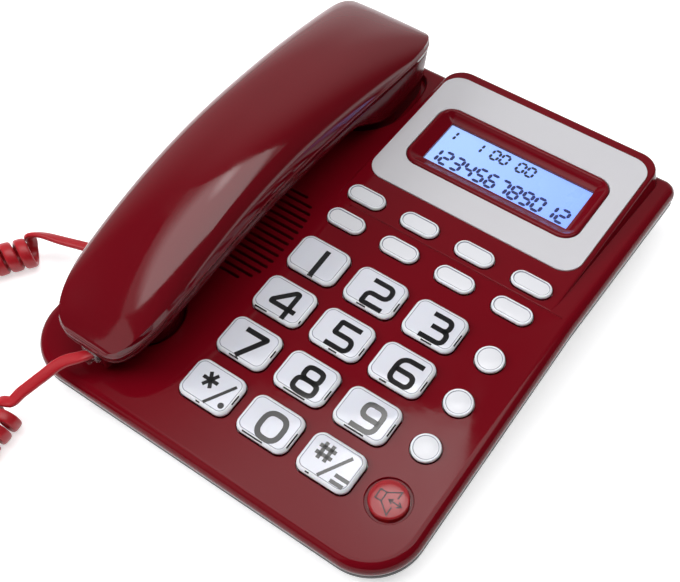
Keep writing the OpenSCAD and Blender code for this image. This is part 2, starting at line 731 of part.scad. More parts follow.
module lcd_bezel() color(red) on_block() translate([fascia_mid, display_from_fold, 0]) difference() {
  union() {
    linear_extrude(fascia_t + bezel_proud) rrect(bezel_w, bezel_d, bezel_r);
    translate([0, 0, -bezel_drop]) linear_extrude(bezel_drop + 0.1)
      rrect(bezel_w - 2 * bezel_step, bezel_d - 2 * bezel_step, bezel_r - bezel_step - 0.2);
  }
  hull() {
    translate([0, 0, window_top]) linear_extrude(eps) square([window_w, window_d], center = true);
    translate([0, 0, fascia_t + bezel_proud]) linear_extrude(eps)
      square([bezel_w - 3, bezel_d - 3], center = true);
  }
  translate([0, 0, -bezel_drop - 1]) linear_extrude(bezel_drop) square([window_w, window_d],
    center = true);
}

module lcd_lens() color([0.6, 0.75, 0.95, 0.5]) on_block()
  translate([fascia_mid, display_from_fold, -bezel_drop])
    linear_extrude(bezel_drop + window_top) square([window_w - 0.2, window_d - 0.2], center = true);

module lcd_module() color([0.6, 0.72, 0.95]) on_block()
  translate([fascia_mid, display_from_fold, board_top + 0.1])
    linear_extrude(-bezel_drop - board_top - 0.3) square([window_w + 5, window_d + 6],
      center = true);

module display_board() color(board_green) on_block()
  translate([block_left + 5, 2, board_top - board_t])
    cube([block_right - block_left - 10, display_from_fold + bezel_d / 2 - 2, board_t]);

// ---- Boards, mats and loudspeaker under the deck ----

module main_circuit_board() color(board_green) on_deck()
  translate([key_x0 - key_w / 2 - 2, board_front, board_top - board_t])
    cube([round_x - key_x0 + key_w / 2 + 9, deck_len - 4.5 - board_front, board_t]);

module mat_dome(w, d) {
  translate([0, 0, board_top + mat_t - eps]) linear_extrude(dome_h + eps) pill(w, d);
}

module keypad_mat() color(charcoal) on_deck() {
  translate([key_x0 - key_w / 2, mat_front, board_top]) cube([2 * key_pitch_x + key_w,
    key_y0 + key_d / 2 - mat_front, mat_t]);
  for (i = [0:11]) translate(key_place(i)) mat_dome(8, 6);
}

module function_mat() color(charcoal) {
  on_deck() {
    translate([oval_x0 - oval_w / 2, lower_oval_y - oval_d / 2 + 1, board_top])
      cube([3 * oval_pitch + oval_w - 1, oval_d - 2, mat_t]);
    for (i = [0:3]) translate(oval_place(i) + [0, lower_oval_y, 0]) mat_dome(6, 4);
    translate([round_x - round_dia / 2 + 0.5, key_row_front - 7, board_top])
      cube([round_dia - 1, round_y0 - key_row_front + 12, mat_t]);
    for (i = [0:2]) translate([round_x, round_y0 - i * round_pitch, 0]) mat_dome(6, 4);
    translate([round_x, key_row_front, 0]) mat_dome(6, 4);
  }
  on_block() {
    translate([oval_x0 - oval_w / 2, upper_oval_y - oval_d / 2 + 1, board_top])
      cube([3 * oval_pitch + oval_w - 1, oval_d - 2, mat_t]);
    for (i = [0:3]) translate(oval_place(i) + [0, upper_oval_y, 0]) mat_dome(6, 4);
  }
}

module base_loudspeaker() color(charcoal) on_deck() translate([speaker_x, speaker_y, -wall - 0.3]) {
  translate([0, 0, -3]) cylinder(d = speaker_dia, h = 3, $fn = 64);
  translate([0, 0, -9]) cylinder(d1 = speaker_dia * 0.5, d2 = speaker_dia - 3, h = 6 + eps, $fn = 64);
  translate([0, 0, -13]) cylinder(d = speaker_dia * 0.5, h = 4 + eps, $fn = 64);
}

module base_microphone() color(steel) on_deck()
  translate([key_x0 + key_pitch_x, 9, -wall - 0.3 - 5]) cylinder(r = 3, h = 5, $fn = 48);

// ---- Hook ----

module hook_button() color(red) translate([handset_x, hook_y, 0]) {
  translate([0, 0, hook_stem_z]) cylinder(r = hook_r, h = ear_floor - hook_stem_z, $fn = 48);
  translate([0, 0, hook_flange_z]) cylinder(r = hook_r + 1.5, h = 1.5, $fn = 48);
}

module hook_spring() color(steel) translate([handset_x, hook_y, foot_h + wall + 0.1])
  difference() {
    cylinder(r = 3.2, h = hook_stem_z - foot_h - wall - 0.2, $fn = 48);
    translate([0, 0, -1]) cylinder(r = 2.3, h = 20, $fn = 48);
  }

module hook_switch() color(charcoal)
  translate([handset_x + hook_r + 2.2, hook_y - 4, foot_h + wall]) cube([10, 8, 9]);

// ---- Sockets and plugs ----

module line_jack() color(charcoal) translate([line_x, line_face, line_z]) rotate([0, 0, 180])
  socket_body(line_w, line_h, 11, 14);

module handset_cord_jack() color(charcoal) translate([base_jack_x, base_jack_y, base_jack_z])
  rotate([0, 0, -90]) socket_body(plug_w + 2 * socket_gap, plug_h + 2 * socket_gap, plug_in + 0.5, jack_deep);

module handset_jack() color(charcoal) translate([handset_x, handset_jack_y, handset_jack_z])
  socket_body(plug_w + 2 * socket_gap, plug_h + 2 * socket_gap, plug_in + 0.5, jack_deep);

// Clear plug pointing along +Y into a socket face at the origin.
module plug_body() {
  translate([-plug_w / 2, -plug_out, -plug_h / 2]) cube([plug_w, plug_out + plug_in, plug_h]);
}

module handset_plug() color([0.9, 0.85, 0.85, 0.6])
  translate([handset_x, handset_jack_y, handset_jack_z]) plug_body();

module base_plug() color([0.9, 0.85, 0.85, 0.6])
  translate([base_jack_x, base_jack_y, base_jack_z]) rotate([0, 0, -90]) plug_body();

// ---- Keys and buttons ----

module key_cap(i) color(white) on_deck() translate(key_place(i)) {
  translate([0, 0, flange_top - flange_t]) linear_extrude(flange_t)
    rrect(key_w + 2 * flange_lip, key_d + 2 * flange_lip, key_r);
  translate([0, 0, flange_top - eps]) linear_extrude(key_h - 0.9 - flange_top + eps)
    rrect(key_w, key_d, key_r);
  hull() {
    translate([0, 0, key_h - 0.9 - eps]) linear_extrude(eps) rrect(key_w, key_d, key_r, $fn = 32);
    translate([0, 0, key_h - eps]) linear_extrude(eps) rrect(key_w - 2, key_d - 2, key_r - 1);
  }
}

module oval_cap(place) color(white) translate(place) {
  translate([0, 0, flange_top - flange_t]) linear_extrude(flange_t)
    pill(oval_w + 2 * oval_lip, oval_d + 2 * oval_lip);
  translate([0, 0, flange_top - eps]) linear_extrude(button_h - 0.5 - flange_top + eps)
    pill(oval_w, oval_d);
  translate([0, 0, button_h - 0.5 - eps]) linear_extrude(0.5 + eps) pill(oval_w - 1.2, oval_d - 1.2);
}

module oval_button(i) {
  if (i < 4) on_block() oval_cap(oval_place(i) + [0, upper_oval_y, 0]);
  else on_deck() oval_cap(oval_place(i - 4) + [0, lower_oval_y, 0]);
}

module round_button(i) color(white) on_deck() translate([round_x, round_y0 - i * round_pitch, 0]) {
  translate([0, 0, flange_top - flange_t]) cylinder(d = round_dia + 2 * flange_lip, h = flange_t,
    $fn = 64);
  translate([0, 0, flange_top - eps]) cylinder(d = round_dia, h = button_h - 0.5 - flange_top + eps,
    $fn = 64);
  translate([0, 0, button_h - 0.5 - eps]) cylinder(d = round_dia - 1.2, h = 0.5 + eps, $fn = 64);
}

module speaker_button() color([0.7, 0.12, 0.14]) on_deck() translate([round_x, key_row_front, 0]) {
  translate([0, 0, flange_top - flange_t]) cylinder(d = speaker_button_dia + 2 * flange_lip,
    h = flange_t, $fn = 64);
  translate([0, 0, flange_top - eps]) cylinder(d = speaker_button_dia, h = button_h - flange_top,
    $fn = 64);
}

// ---- Handset ----

module handset_top_shell() color(red) difference() {
  union() {
    difference() {
      crown_solid(0);
      crown_solid(handset_wall);
    }
    // Screw pillars, from inside the crown down to the bottom shell's floor.
    for (y = handset_screw_places) {
      intersection() {
        translate([handset_x, y, crease_z(y) - parting_drop - 1]) cylinder(r = 3.2, h = 30, $fn = 48);
        crown_solid(handset_wall / 2);
      }
      translate([handset_x, y, belly_z(y) + handset_wall + 0.1])
        cylinder(r = 3.2, h = band_h - parting_drop, $fn = 48);
    }
  }
  for (y = handset_screw_places) translate([handset_x, y, belly_z(y)])
    cylinder(r = 1.35, h = 9.6, $fn = 48);
}

module cup_bores() {
  // Sound holes in the ear cup and the mouth cup.
  for (a = [0:60:300]) translate([handset_x + 7 * cos(a), ear_y + 7 * sin(a), ear_floor - 2])
    cylinder(r = 1, h = 8, $fn = 24);
  translate([handset_x, ear_y, ear_floor - 2]) cylinder(r = 1, h = 8, $fn = 24);
  for (x = [-4, 0, 4]) on_deck() translate([handset_x + x, mouth_y, -mouth_well - 2])
    cylinder(r = 0.8, h = 8, $fn = 24);
}

module handset_bottom_shell() color(red) difference() {
  union() {
    belly_solid(0);
    intersection() {
      union() {
        translate([0, 0, ear_floor + seat_gap]) linear_extrude(crease_h) ear_outline(0);
        mouth_cup_shape(mouth_r, -mouth_well + seat_gap, 40);
      }
      below_belly();
    }
    // Chin under the cord socket, from the front end to the mouth cup.
    translate([handset_x - jack_w() / 2 - chin_wall, handset_front + 0.6,
        handset_jack_z - jack_h() / 2 - chin_wall])
      cube([jack_w() + 2 * chin_wall, 16, jack_h() + chin_wall - 1]);
  }
  belly_solid(handset_wall);
  translate([0, 0, ear_floor + seat_gap + handset_wall]) linear_extrude(crease_h - band_h - ear_floor)
    ear_outline(handset_wall);
  intersection() {
    mouth_cup_shape(mouth_r - handset_wall, -mouth_well + seat_gap + handset_wall, 60);
    below_belly();
  }
  cup_bores();
  // Slot that holds the cord socket, open at the front end and above.
  translate([handset_x - jack_w() / 2 - jack_fit, handset_front - 1,
      handset_jack_z - jack_h() / 2 - jack_fit])
    cube([jack_w() + 2 * jack_fit, handset_jack_y - handset_front + 1 + jack_deep + jack_fit, 20]);
  for (y = handset_screw_places) translate([handset_x, y, belly_z(y) - 1]) {
    cylinder(r = 1.6, h = 6, $fn = 48);
    cylinder(r = 2.9, h = 1 + 0.9, $fn = 48);
  }
}

// Everything under the middle of the side band.
module below_belly() {
  ys = [for (i = [0:stations]) station_y(i, 1)];
  loft([for (y = ys) [[handset_w / 2 + 1, belly_z(y) + 3], [-handset_w / 2 - 1, belly_z(y) + 3],
    [-handset_w / 2 - 1, -5], [handset_w / 2 + 1, -5]]], ys);
}

module earpiece_receiver() color(charcoal)
  translate([handset_x, ear_y, ear_floor + seat_gap + handset_wall + 0.3]) {
    cylinder(r = 17, h = 6, $fn = 64);
    cylinder(r = 10, h = 9, $fn = 64);
  }

module handset_microphone() color(steel) on_deck()
  translate([handset_x, mouth_y, -mouth_well + seat_gap + handset_wall + 0.3])
    cylinder(r = 4.9, h = 5, $fn = 48);

module handset_weight() color(steel)
  translate([handset_x - 9, crease_flat_y - 22, belly_z(crease_flat_y) + handset_wall + 0.1])
    cube([18, 36, 3]);

handset_screw_places = [ear_y - ear_r - 6, crease_flat_y - 56];

module handset_screws() color(steel) for (y = handset_screw_places)
  translate([handset_x, y, belly_z(y) + 0.9]) {
    translate([0, 0, -1.6]) cylinder(r = 2.6, h = 1.6, $fn = 48);
    translate([0, 0, -1.6]) cylinder(r = 1.3, h = 9.6, $fn = 48);
  }

// ---- Cord pieces ----

module cord_tail_handset() color(cord_red) ribbon(frames_a);

module cord_curls() color(cord_red) ribbon(curl_frames);

module cord_tail_base() color(cord_red) ribbon(frames_b);

echo(curl_pitch = curl_pitch, cord_length = cord_length, least_gap = least_gap);

base_top_shell();
base_bottom_shell();
rubber_feet();
base_screws();
battery_door();
batteries();
battery_contacts();
display_fascia();
lcd_bezel();
lcd_lens();
lcd_module();
main_circuit_board();
display_board();
keypad_mat();
function_mat();
base_loudspeaker();
base_microphone();
hook_button();
hook_spring();
hook_switch();
line_jack();
handset_cord_jack();
key_cap(0);  // key_1
key_cap(1);  // key_2
key_cap(2);  // key_3
key_cap(3);  // key_4
key_cap(4);  // key_5
key_cap(5);  // key_6
key_cap(6);  // key_7
key_cap(7);  // key_8
key_cap(8);  // key_9
key_cap(9);  // key_star
key_cap(10);  // key_0
key_cap(11);  // key_hash
oval_button(0);  // oval_button_1
oval_button(1);  // oval_button_2
oval_button(2);  // oval_button_3
oval_button(3);  // oval_button_4
oval_button(4);  // oval_button_5
oval_button(5);  // oval_button_6
oval_button(6);  // oval_button_7
oval_button(7);  // oval_button_8
round_button(0);  // round_button_1
round_button(1);  // round_button_2
round_button(2);  // round_button_3
speaker_button();
handset_top_shell();
handset_bottom_shell();
earpiece_receiver();
handset_microphone();
handset_screws();
handset_jack();
handset_weight();
handset_plug();
base_plug();
cord_tail_handset();
cord_curls();
cord_tail_base();
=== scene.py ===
"""Looks of a corded desk telephone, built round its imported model. Lengths are in millimetres until a mesh is made."""
import math

import bpy
import numpy as np
from mathutils import Matrix


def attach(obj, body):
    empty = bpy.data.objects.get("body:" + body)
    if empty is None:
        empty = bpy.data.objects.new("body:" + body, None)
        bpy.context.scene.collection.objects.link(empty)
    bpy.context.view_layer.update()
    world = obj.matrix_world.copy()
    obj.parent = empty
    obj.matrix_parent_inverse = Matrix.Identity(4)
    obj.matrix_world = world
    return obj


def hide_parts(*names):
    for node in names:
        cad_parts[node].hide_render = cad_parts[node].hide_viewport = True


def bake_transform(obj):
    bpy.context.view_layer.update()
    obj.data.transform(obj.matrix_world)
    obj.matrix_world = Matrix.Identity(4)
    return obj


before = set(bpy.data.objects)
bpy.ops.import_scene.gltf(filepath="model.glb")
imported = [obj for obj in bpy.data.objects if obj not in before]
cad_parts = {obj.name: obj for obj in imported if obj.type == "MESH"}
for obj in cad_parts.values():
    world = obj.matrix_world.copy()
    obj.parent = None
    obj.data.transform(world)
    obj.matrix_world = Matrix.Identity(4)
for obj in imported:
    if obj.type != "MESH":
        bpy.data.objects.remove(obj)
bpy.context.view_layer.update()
MM = 0.001

# ---- Sizes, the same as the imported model's ----
BASE_W, FRONT_Y, REAR_Y, FRONT_H = 169.5, -105.0, 105.0, 14.4
TILT, LIP_FALL, BLOCK_TILT = (math.radians(a) for a in (7.2, -1.7, 2.7))
DECK_RUN, WALL, EDGE_R, RIM_H, FRONT_R, REAR_R = 119.8, 2.2, 4.0, 1.6, 21.0, 6.0
FOLD_Y = FRONT_Y + DECK_RUN
FOLD_H = FRONT_H + DECK_RUN * math.tan(TILT)
DECK_LEN = DECK_RUN / math.cos(TILT)
LIP_LEN = (REAR_Y - FOLD_Y) / math.cos(LIP_FALL)
BLOCK_LEN = (REAR_Y - FOLD_Y) / math.cos(BLOCK_TILT)
LIP_H = EDGE_R + RIM_H
BOSSES = ((-64.75, -92, 15.4), (68.75, -92, 15.4), (-68.75, 33.8, 28.4), (64.75, 88, 32.3))  # x, y, pillar top
BAY_X, BAY_HALF, BAY_WALL_HALF, DOOR_HALF, TRACK_HALF, DOOR_Y = 19.95, 24.75, 32.75, 29.05, 30.55, 47.7
HS_X, HS_W, HS_TAPER, HS_L, HS_END = -53.0, 46.5, 0.055, 194.0, 99.0
HS_MID, HS_FRONT = HS_END - HS_L / 2, HS_END - HS_L
CREASE_H, CREASE_DROP, CREASE_FALL, BAND_H = 53.5, 22.3, 4.8, 8.5
FLAT_Y, PARTING, REAR_N, FRONT_N = HS_FRONT + 112, 2.6, 7.2, 4.8
EAR_Y, EAR_R = HS_END - 27, HS_W / 2 + 0.4
EAR_FLOOR = FOLD_H - (EAR_Y - FOLD_Y) * math.tan(-LIP_FALL) - 4.1
HOOK_Y, HOOK_HOLE_R = EAR_Y - EAR_R + 10, 3.8
MOUTH, MOUTH_R, MOUTH_WELL = (HS_X, 10 / math.cos(TILT) + 29), 15.0, 3.3
KEY_W, KEY_D, KEY_R, KEY_H, KEY_GAP = 22.1, 16.6, 4.0, 2.4, 0.3
KEY_X0, KEY_Y0, PITCH_X, PITCH_Y = -10.05, 92.4, 26.5, 21.7
OVAL_W, OVAL_D, BUTTON_H, OVAL_PITCH, OVAL_X0 = 16.6, 8.0, 1.6, 25.0, -12.15
LOWER_OVAL_Y, UPPER_OVAL_Y = DECK_LEN - 7.2, 6.8
ROUND_X, ROUND_Y0, ROUND_PITCH, ROUND_DIA = 66.85, 91.7, 20.8, 11.0
SPEAKER_BTN, SPEAKER_BTN_Y = 14.5, 27.3
FLANGE_TOP, FLANGE_T = -WALL - 0.3, 1.2
BLOCK_L, BLOCK_R, BLOCK_ROUND = -23.65, 75.55, 1.2
GROOVE_X0, GROOVE_X1 = BLOCK_L + 8, 79.75
FASCIA_X0, FASCIA_X1, FASCIA_Y0, FASCIA_Y1 = -21.75, 73.65, 18.5, BLOCK_LEN - 5.1
FASCIA_R, FASCIA_T = 8.0, 0.8
DISPLAY = (25.95, 50.0)  # the middle of the bezel
BEZEL_W, BEZEL_D, BEZEL_R, BEZEL_DROP = 79.0, 35.6, 7.0, 3.2
VIEW_X, VIEW_Y, VIEW_W, VIEW_D, VIEW_TOP = 26.2, 50.8, 66.6, 22.8, -2.0  # the display's window
SLOT_X, SLOT_Y, SLOT_COUNT, SLOT_PITCH, SLOT_W, SPEAKER_DIA = -48.5, 92.5, 15, 3.2, 1.4, 50.0
CORD_W, CORD_T, CURL_R, TURNS = 4.6, 2.2, 5.4, 46.75
COIL_Z = CURL_R + CORD_T / 2 + 0.1
PLUG_W, PLUG_H = 7.6, 6.0
EXIT = np.array([HS_X, -95.6, 24.25])
ENTRY = np.array([-83.35, -50.0, 10.6])


# ---- Frames of reference ----
def tilted(angle, y0, z0):
    c, s = math.cos(angle), math.sin(angle)

    def place(p):
        p = np.asarray(p, float)
        x, y, z = p[..., 0], p[..., 1], p[..., 2]
        return np.stack([x, y0 + y * c - z * s, z0 + y * s + z * c], -1)

    return place


on_deck = tilted(TILT, FRONT_Y, FRONT_H)
on_lip = tilted(LIP_FALL, FOLD_Y, FOLD_H)
on_block = tilted(BLOCK_TILT, FOLD_Y, FOLD_H)


def as_is(p):
    return np.asarray(p, float)


def linked(name, data):
    """A new object in the scene."""
    o = bpy.data.objects.new(name, data)
    bpy.context.scene.collection.objects.link(o)
    return o


# ---- Camera ----
cam = linked("camera", bpy.data.cameras.new("camera"))
cam.data.sensor_width = 36
cam.data.lens = 61.71
cam.data.clip_start, cam.data.clip_end = 0.01, 20
cam.matrix_world = Matrix((
    (0.81077, -0.46197, 0.35951, 0.16244),
    (0.58537, 0.63985, -0.49793, -0.23850),
    (0.0, 0.61415, 0.78919, 0.37244),
    (0, 0, 0, 1)))
bpy.context.scene.camera = cam


# ---- Mesh tools ----
class Shape:
    """Gathers closed forms in one mesh, each with its material's number."""

    def __init__(self):
        self.v, self.f, self.m, self.n = [], [], [], 0

    def add(self, v, f, mat=0, place=as_is):
        self.v.append(place(v))
        self.f += [[i + self.n for i in q] for q in f]
        self.m += [mat] * len(f)
        self.n += len(v)
        return self

    def loft(self, rings, mat=0, place=as_is, ends="capped"):
        """Faces through rings that all have the same number of points; the ends are capped, joined or open."""
        k, n = len(rings), len(rings[0])
        f = [[i * n + j, i * n + (j + 1) % n, (i + 1) % k * n + (j + 1) % n, (i + 1) % k * n + j]
             for i in range(k if ends == "joined" else k - 1) for j in range(n)]
        if ends == "capped":
            f += [list(range(n))[::-1], [(k - 1) * n + j for j in range(n)]]
        return self.add(np.concatenate(rings), f, mat, place)

    def stack(self, outline, profile, place=as_is, centre=(0, 0)):
        """A solid whose flat outline(inset) changes with height: profile lists (inset, height), upwards."""
        rings = []
        for inset, z in profile:
            o = np.asarray(outline(inset), float)
            rings.append(np.column_stack([o[:, 0] + centre[0], o[:, 1] + centre[1], np.full(len(o), z)]))
        return self.loft(rings, 0, place)

    def mesh(self, name):
        m = bpy.data.meshes.new(name)
        m.from_pydata([tuple(p) for p in np.concatenate(self.v) * MM], [], self.f)
        m.polygons.foreach_set("material_index", self.m)
        m.validate()
        m.update()
        return m

    def make(self, name, *rest, **more):
        return piece(name, self.mesh(name), *rest, **more)


def piece(name, mesh, mats, body, nodes=(), slot=None, angle=35):
    """An object from a mesh, shaded smooth up to an angle, that rides on a body and stands for nodes."""
    o = linked(name, mesh)
    numbers = read(mesh.polygons, "material_index", 1, np.int32)
    mesh.materials.clear()
    for m in mats:
        mesh.materials.append(m)
    mesh.polygons.foreach_set("material_index", numbers)
    mesh.shade_smooth()
    mesh.set_sharp_from_angle(angle=math.radians(angle))
    if body:
        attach(o, body)
    if nodes:
        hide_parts(*nodes)
    return o


def read(items, name, width, kind=np.float32):
    """One attribute of all the items of a mesh, in rows of the given width."""
    out = np.zeros(len(items) * width, kind)
    items.foreach_get(name, out)
    return out.reshape(-1, width) if width > 1 else out


def arc(cx, cy, r, a0, steps):
    """Points of a quarter circle round cx, cy, anticlockwise from the angle a0 in degrees."""
    return [(cx + r * math.cos(a), cy + r * math.sin(a))
            for a in (math.radians(a0 + 90 * k / steps) for k in range(steps + 1))]


def rrect(w, d, r, seg=8):
    """Outline of a rectangle with round corners, anticlockwise, as a function of its inset."""
    def at(inset):
        hw, hd, rr = w / 2 - inset, d / 2 - inset, max(0.05, r - inset)
        return [p for cx, cy, a0 in ((1, 1, 0), (-1, 1, 90), (-1, -1, 180), (1, -1, 270))
                for p in arc(cx * (hw - rr), cy * (hd - rr), rr, a0, seg)]
    return at


def pill(w, d, seg=12):
    return rrect(w, d, d / 2 - 0.001, seg)


def circle(r, seg=64):
    return lambda inset: [((r - inset) * math.cos(2 * math.pi * k / seg),
                           (r - inset) * math.sin(2 * math.pi * k / seg)) for k in range(seg)]


def box(x0, x1, y0, y1, z0, z1):
    v = [(x, y, z) for z in (z0, z1) for x, y in ((x0, y0), (x1, y0), (x1, y1), (x0, y1))]
    return v, [[3, 2, 1, 0], [4, 5, 6, 7], [0, 1, 5, 4], [1, 2, 6, 5], [2, 3, 7, 6], [3, 0, 4, 7]]


def stacks(items):
    """Several separate stacks in one shape, each (outline, profile, place, centre)."""
    s = Shape()
    for item in items:
        s.stack(*item)
    return s


JOIN, CUT = "UNION", "DIFFERENCE"


def boolean(shape, steps):
    """Joins or cuts a closed shape with others, in turn: steps lists (JOIN or CUT, shape)."""
    o = linked("work", shape.mesh("work"))
    for operation, other in steps:
        t = linked("tool", other.mesh("tool"))
        mod = o.modifiers.new("boolean", "BOOLEAN")
        mod.operation, mod.object, mod.solver = operation, t, "MANIFOLD"
        done = o.evaluated_get(bpy.context.evaluated_depsgraph_get())
        o.data = bpy.data.meshes.new_from_object(done)
        o.modifiers.clear()
        bpy.data.objects.remove(t)
    result = o.data
    bpy.data.objects.remove(o)
    return result


def plane_normals(mesh, planes):
    """Keeps each plane's own normal along its borders with the roundings. planes lists (frame, height in it)."""
    normals = read(mesh.corner_normals, "vector", 3)
    co = read(mesh.vertices, "co", 3).astype(float)
    loop_v = read(mesh.loops, "vertex_index", 1, np.int32)
    face_n = read(mesh.polygons, "normal", 3)
    loop_f = np.repeat(np.arange(len(mesh.polygons)), [p.loop_total for p in mesh.polygons])
    for place, height in planes:
        normal = place((0, 0, 1)) - place((0, 0, 0))
        near = np.abs((co - place((0, 0, height)) * MM) @ normal) < 2e-6
        normals[near[loop_v] & ((face_n[loop_f] @ normal) > 0.82)] = normal
    mesh.normals_split_custom_set([tuple(v) for v in normals])


# ---- Materials ----
def srgb(*c):
    return tuple(x / 255 / 12.92 if x <= 10.3 else ((x / 255 + 0.055) / 1.055) ** 2.4 for x in c) + (1,)


def feed(tree, n, inputs):
    """Sets a node's inputs: each is a value, or the output that it is linked to."""
    for key, value in inputs.items():
        if isinstance(value, bpy.types.NodeSocket):
            tree.links.new(value, n.inputs[key])
        else:
            n.inputs[key].default_value = value


def node(tree, kind, output, inputs=None, **settings):
    """One output of a new node."""
    n = tree.nodes.new("ShaderNode" + kind)
    for key, value in settings.items():
        setattr(n, key, value)
    feed(tree, n, inputs or {})
    return n.outputs[output]


def reckon(tree, operation, *values, **settings):
    """The result of a Math node."""
    return node(tree, "Math", "Value", dict(enumerate(values)), operation=operation, **settings)


def ranged(tree, value, from_min, from_max, to_min=0.0, to_max=1.0, kind="LINEAR"):
    """A value carried over from one range to another, and kept inside it."""
    return node(tree, "MapRange", "Result", {"Value": value, "From Min": from_min, "From Max": from_max,
                                             "To Min": to_min, "To Max": to_max}, interpolation_type=kind)


def material(name, colour, rough=0.3, spread=0.06, grain=900.0, bump=0.02, depth=0.00005, rough_spread=0.08,
             stain=None, **sockets):
    """Moulded or coated surface: a colour that varies by a large and a fine noise, uneven gloss and a fine relief."""
    m = bpy.data.materials.new(name)
    m.use_nodes = True
    tree = m.node_tree
    where = node(tree, "TexCoord", "Object")

    def noise(scale, detail):
        return node(tree, "TexNoise", "Fac", {"Scale": scale, "Detail": detail, "Vector": where})

    dark, light = (tuple(min(1, x * k) for x in srgb(*colour)[:3]) + (1,) for k in (1 - spread, 1 + spread))
    result = node(tree, "Mix", "Result", {"A": dark, "B": light, "Factor": noise(45, 4)}, data_type="RGBA")
    if stain:
        share = ranged(tree, noise(grain * 0.6, 3), 0.3, 0.7, 0, 0.35)
        result = node(tree, "Mix", "Result", {"A": result, "B": srgb(*stain), "Factor": share}, data_type="RGBA")
    gloss = ranged(tree, noise(70, 5), 0.3, 0.7, max(0.02, rough - rough_spread), rough + rough_spread)
    relief = node(tree, "Bump", "Normal", {"Strength": bump, "Distance": depth, "Height": noise(grain, 2)})
    feed(tree, tree.nodes["Principled BSDF"],
         dict({key.replace("_", " "): value for key, value in sockets.items()},
              **{"Base Color": result, "Roughness": gloss, "Normal": relief}))
    return m


def clear(name, tint, rough=0.05, share=0.82):
    """Clear plastic: mostly see-through, with the gloss of its surface."""
    m = material(name, tint, rough=rough, spread=0.03, grain=1200, bump=0.03, rough_spread=0.02)
    tree = m.node_tree
    see = node(tree, "BsdfTransparent", "BSDF", {"Color": srgb(*[min(255, c + 8) for c in tint])})
    grazing = reckon(tree, "POWER", node(tree, "LayerWeight", "Facing", {"Blend": 0.5}), 5.0)
    gloss = reckon(tree, "MULTIPLY_ADD", grazing, 0.95, 1 - share, use_clamp=True)
    surface = tree.nodes["Principled BSDF"].outputs["BSDF"]
    feed(tree, tree.nodes["Material Output"],
         {"Surface": node(tree, "MixShader", "Shader", {"Fac": gloss, 1: see, 2: surface})})
    return m


def backlight():
    """Backlit liquid-crystal glass, brighter towards its left end."""
    m = material("lcd_blue", (120, 150, 235), rough=0.3, grain=1500, bump=0.01)
    tree = m.node_tree
    x = node(tree, "SeparateXYZ", "X", {"Vector": node(tree, "TexCoord", "Object")})
    glow = node(tree, "ValToRGB", "Color", {"Fac": ranged(tree, x, -0.010, 0.062)})
    for end, colour in zip(glow.node.color_ramp.elements, ((196, 222, 255), (150, 176, 251))):
        end.color = srgb(*colour)
    feed(tree, tree.nodes["Principled BSDF"], {"Emission Color": glow, "Emission Strength": 0.78})
    return m


GLOSSY = dict(rough=0.08, spread=0.05, grain=260, bump=0.06, depth=0.0002, rough_spread=0.04)
COATED = dict(Coat_Weight=0.6, Coat_Roughness=0.03)
RED = material("red_gloss", (105, 5, 19), **GLOSSY)
# A darker copy of the handset's red: painted shade on its lower band, the bottom shell.
RED_BAND_SHADED = material("red_band_shaded", (94, 4, 16), **dict(GLOSSY, rough=0.2, bump=0.05, rough_spread=0.05),
                    Specular_IOR_Level=0.22)
RED_BASE = material("red_gloss_base", (109, 6, 20), **GLOSSY, Specular_IOR_Level=0.18)
CHARCOAL = material("charcoal_plastic", (46, 44, 47), rough=0.45, grain=2600, bump=0.25, depth=0.00006)
BLACK = material("black_plastic", (24, 24, 26), rough=0.5, grain=2200, bump=0.15)
SILVER = material("silver_panel", (214, 213, 218), rough=0.32, spread=0.008, grain=9000, bump=0.04, depth=0.00002,
                  rough_spread=0.03, Metallic=0.15)
KEY_WHITE = material("key_white", (223, 222, 232), rough=0.1, spread=0.02, grain=700, bump=0.03,
                     Subsurface_Weight=0.08, **COATED)
BUTTON_WHITE = material("button_white", (226, 227, 233), rough=0.16, spread=0.02, grain=900, bump=0.03)
# A lighter copy of the key white: a painted highlight on the caps' sides and bevelled rims.
RIM = material("key_rim", (240, 240, 245), rough=0.08, spread=0.02, grain=700, bump=0.03, Subsurface_Weight=0.1,
               **COATED)
# Mid grey: painted shade in the fine groove round each cap's face.
GROOVE_SHADE = material("rim_groove_shade", (150, 150, 162), rough=0.25, spread=0.03, grain=1500, bump=0.03)
# Dark red on the lowest band of each cap: the red round its hole and the shade in the gap, painted as seen through the
# clear edge.
EDGE = material("clear_edge_shaded_red", (84, 10, 22), rough=0.2, spread=0.05, grain=1500, bump=0.03)
KEY_INK = material("key_ink", (13, 12, 16), rough=0.09, spread=0.05, grain=1500, bump=0.03, rough_spread=0.03,
                   **COATED)
DISC = material("speaker_disc", (164, 32, 40), rough=0.16, spread=0.06, grain=500, bump=0.03, Subsurface_Weight=0.3)
MARK = material("mark_grey", (62, 40, 46), rough=0.35, grain=2600, bump=0.04)
LCD = backlight()
LCD_INK = material("lcd_ink", (16, 22, 92), rough=0.3, grain=4000, bump=0.02)
LCD_DARK = material("lcd_ink_dark", (16, 20, 44), rough=0.3, grain=4000, bump=0.02)
LENS = clear("clear_lens", (236, 240, 246), rough=0.03, share=0.975)
CLEAR = clear("clear_plug", (232, 214, 214))
CORD = material("cord_red", (176, 24, 36), rough=0.34, spread=0.08, grain=1500, bump=0.12, depth=0.00005)
RUBBER = material("rubber_black", (34, 34, 35), rough=0.75, grain=3800, bump=0.35, depth=0.00008)
STEEL = material("steel_zinc", (176, 178, 182), rough=0.3, grain=2400, bump=0.12, Metallic=1.0)
GOLD = material("gold_contact", (214, 170, 88), rough=0.22, grain=2600, bump=0.08, Metallic=1.0)
BOARD = material("board_green", (28, 92, 52), rough=0.4, grain=1400, bump=0.2, stain=(60, 120, 70))
BATTERY = material("battery_skin", (188, 190, 192), rough=0.28, grain=900, bump=0.05, stain=(150, 152, 156))

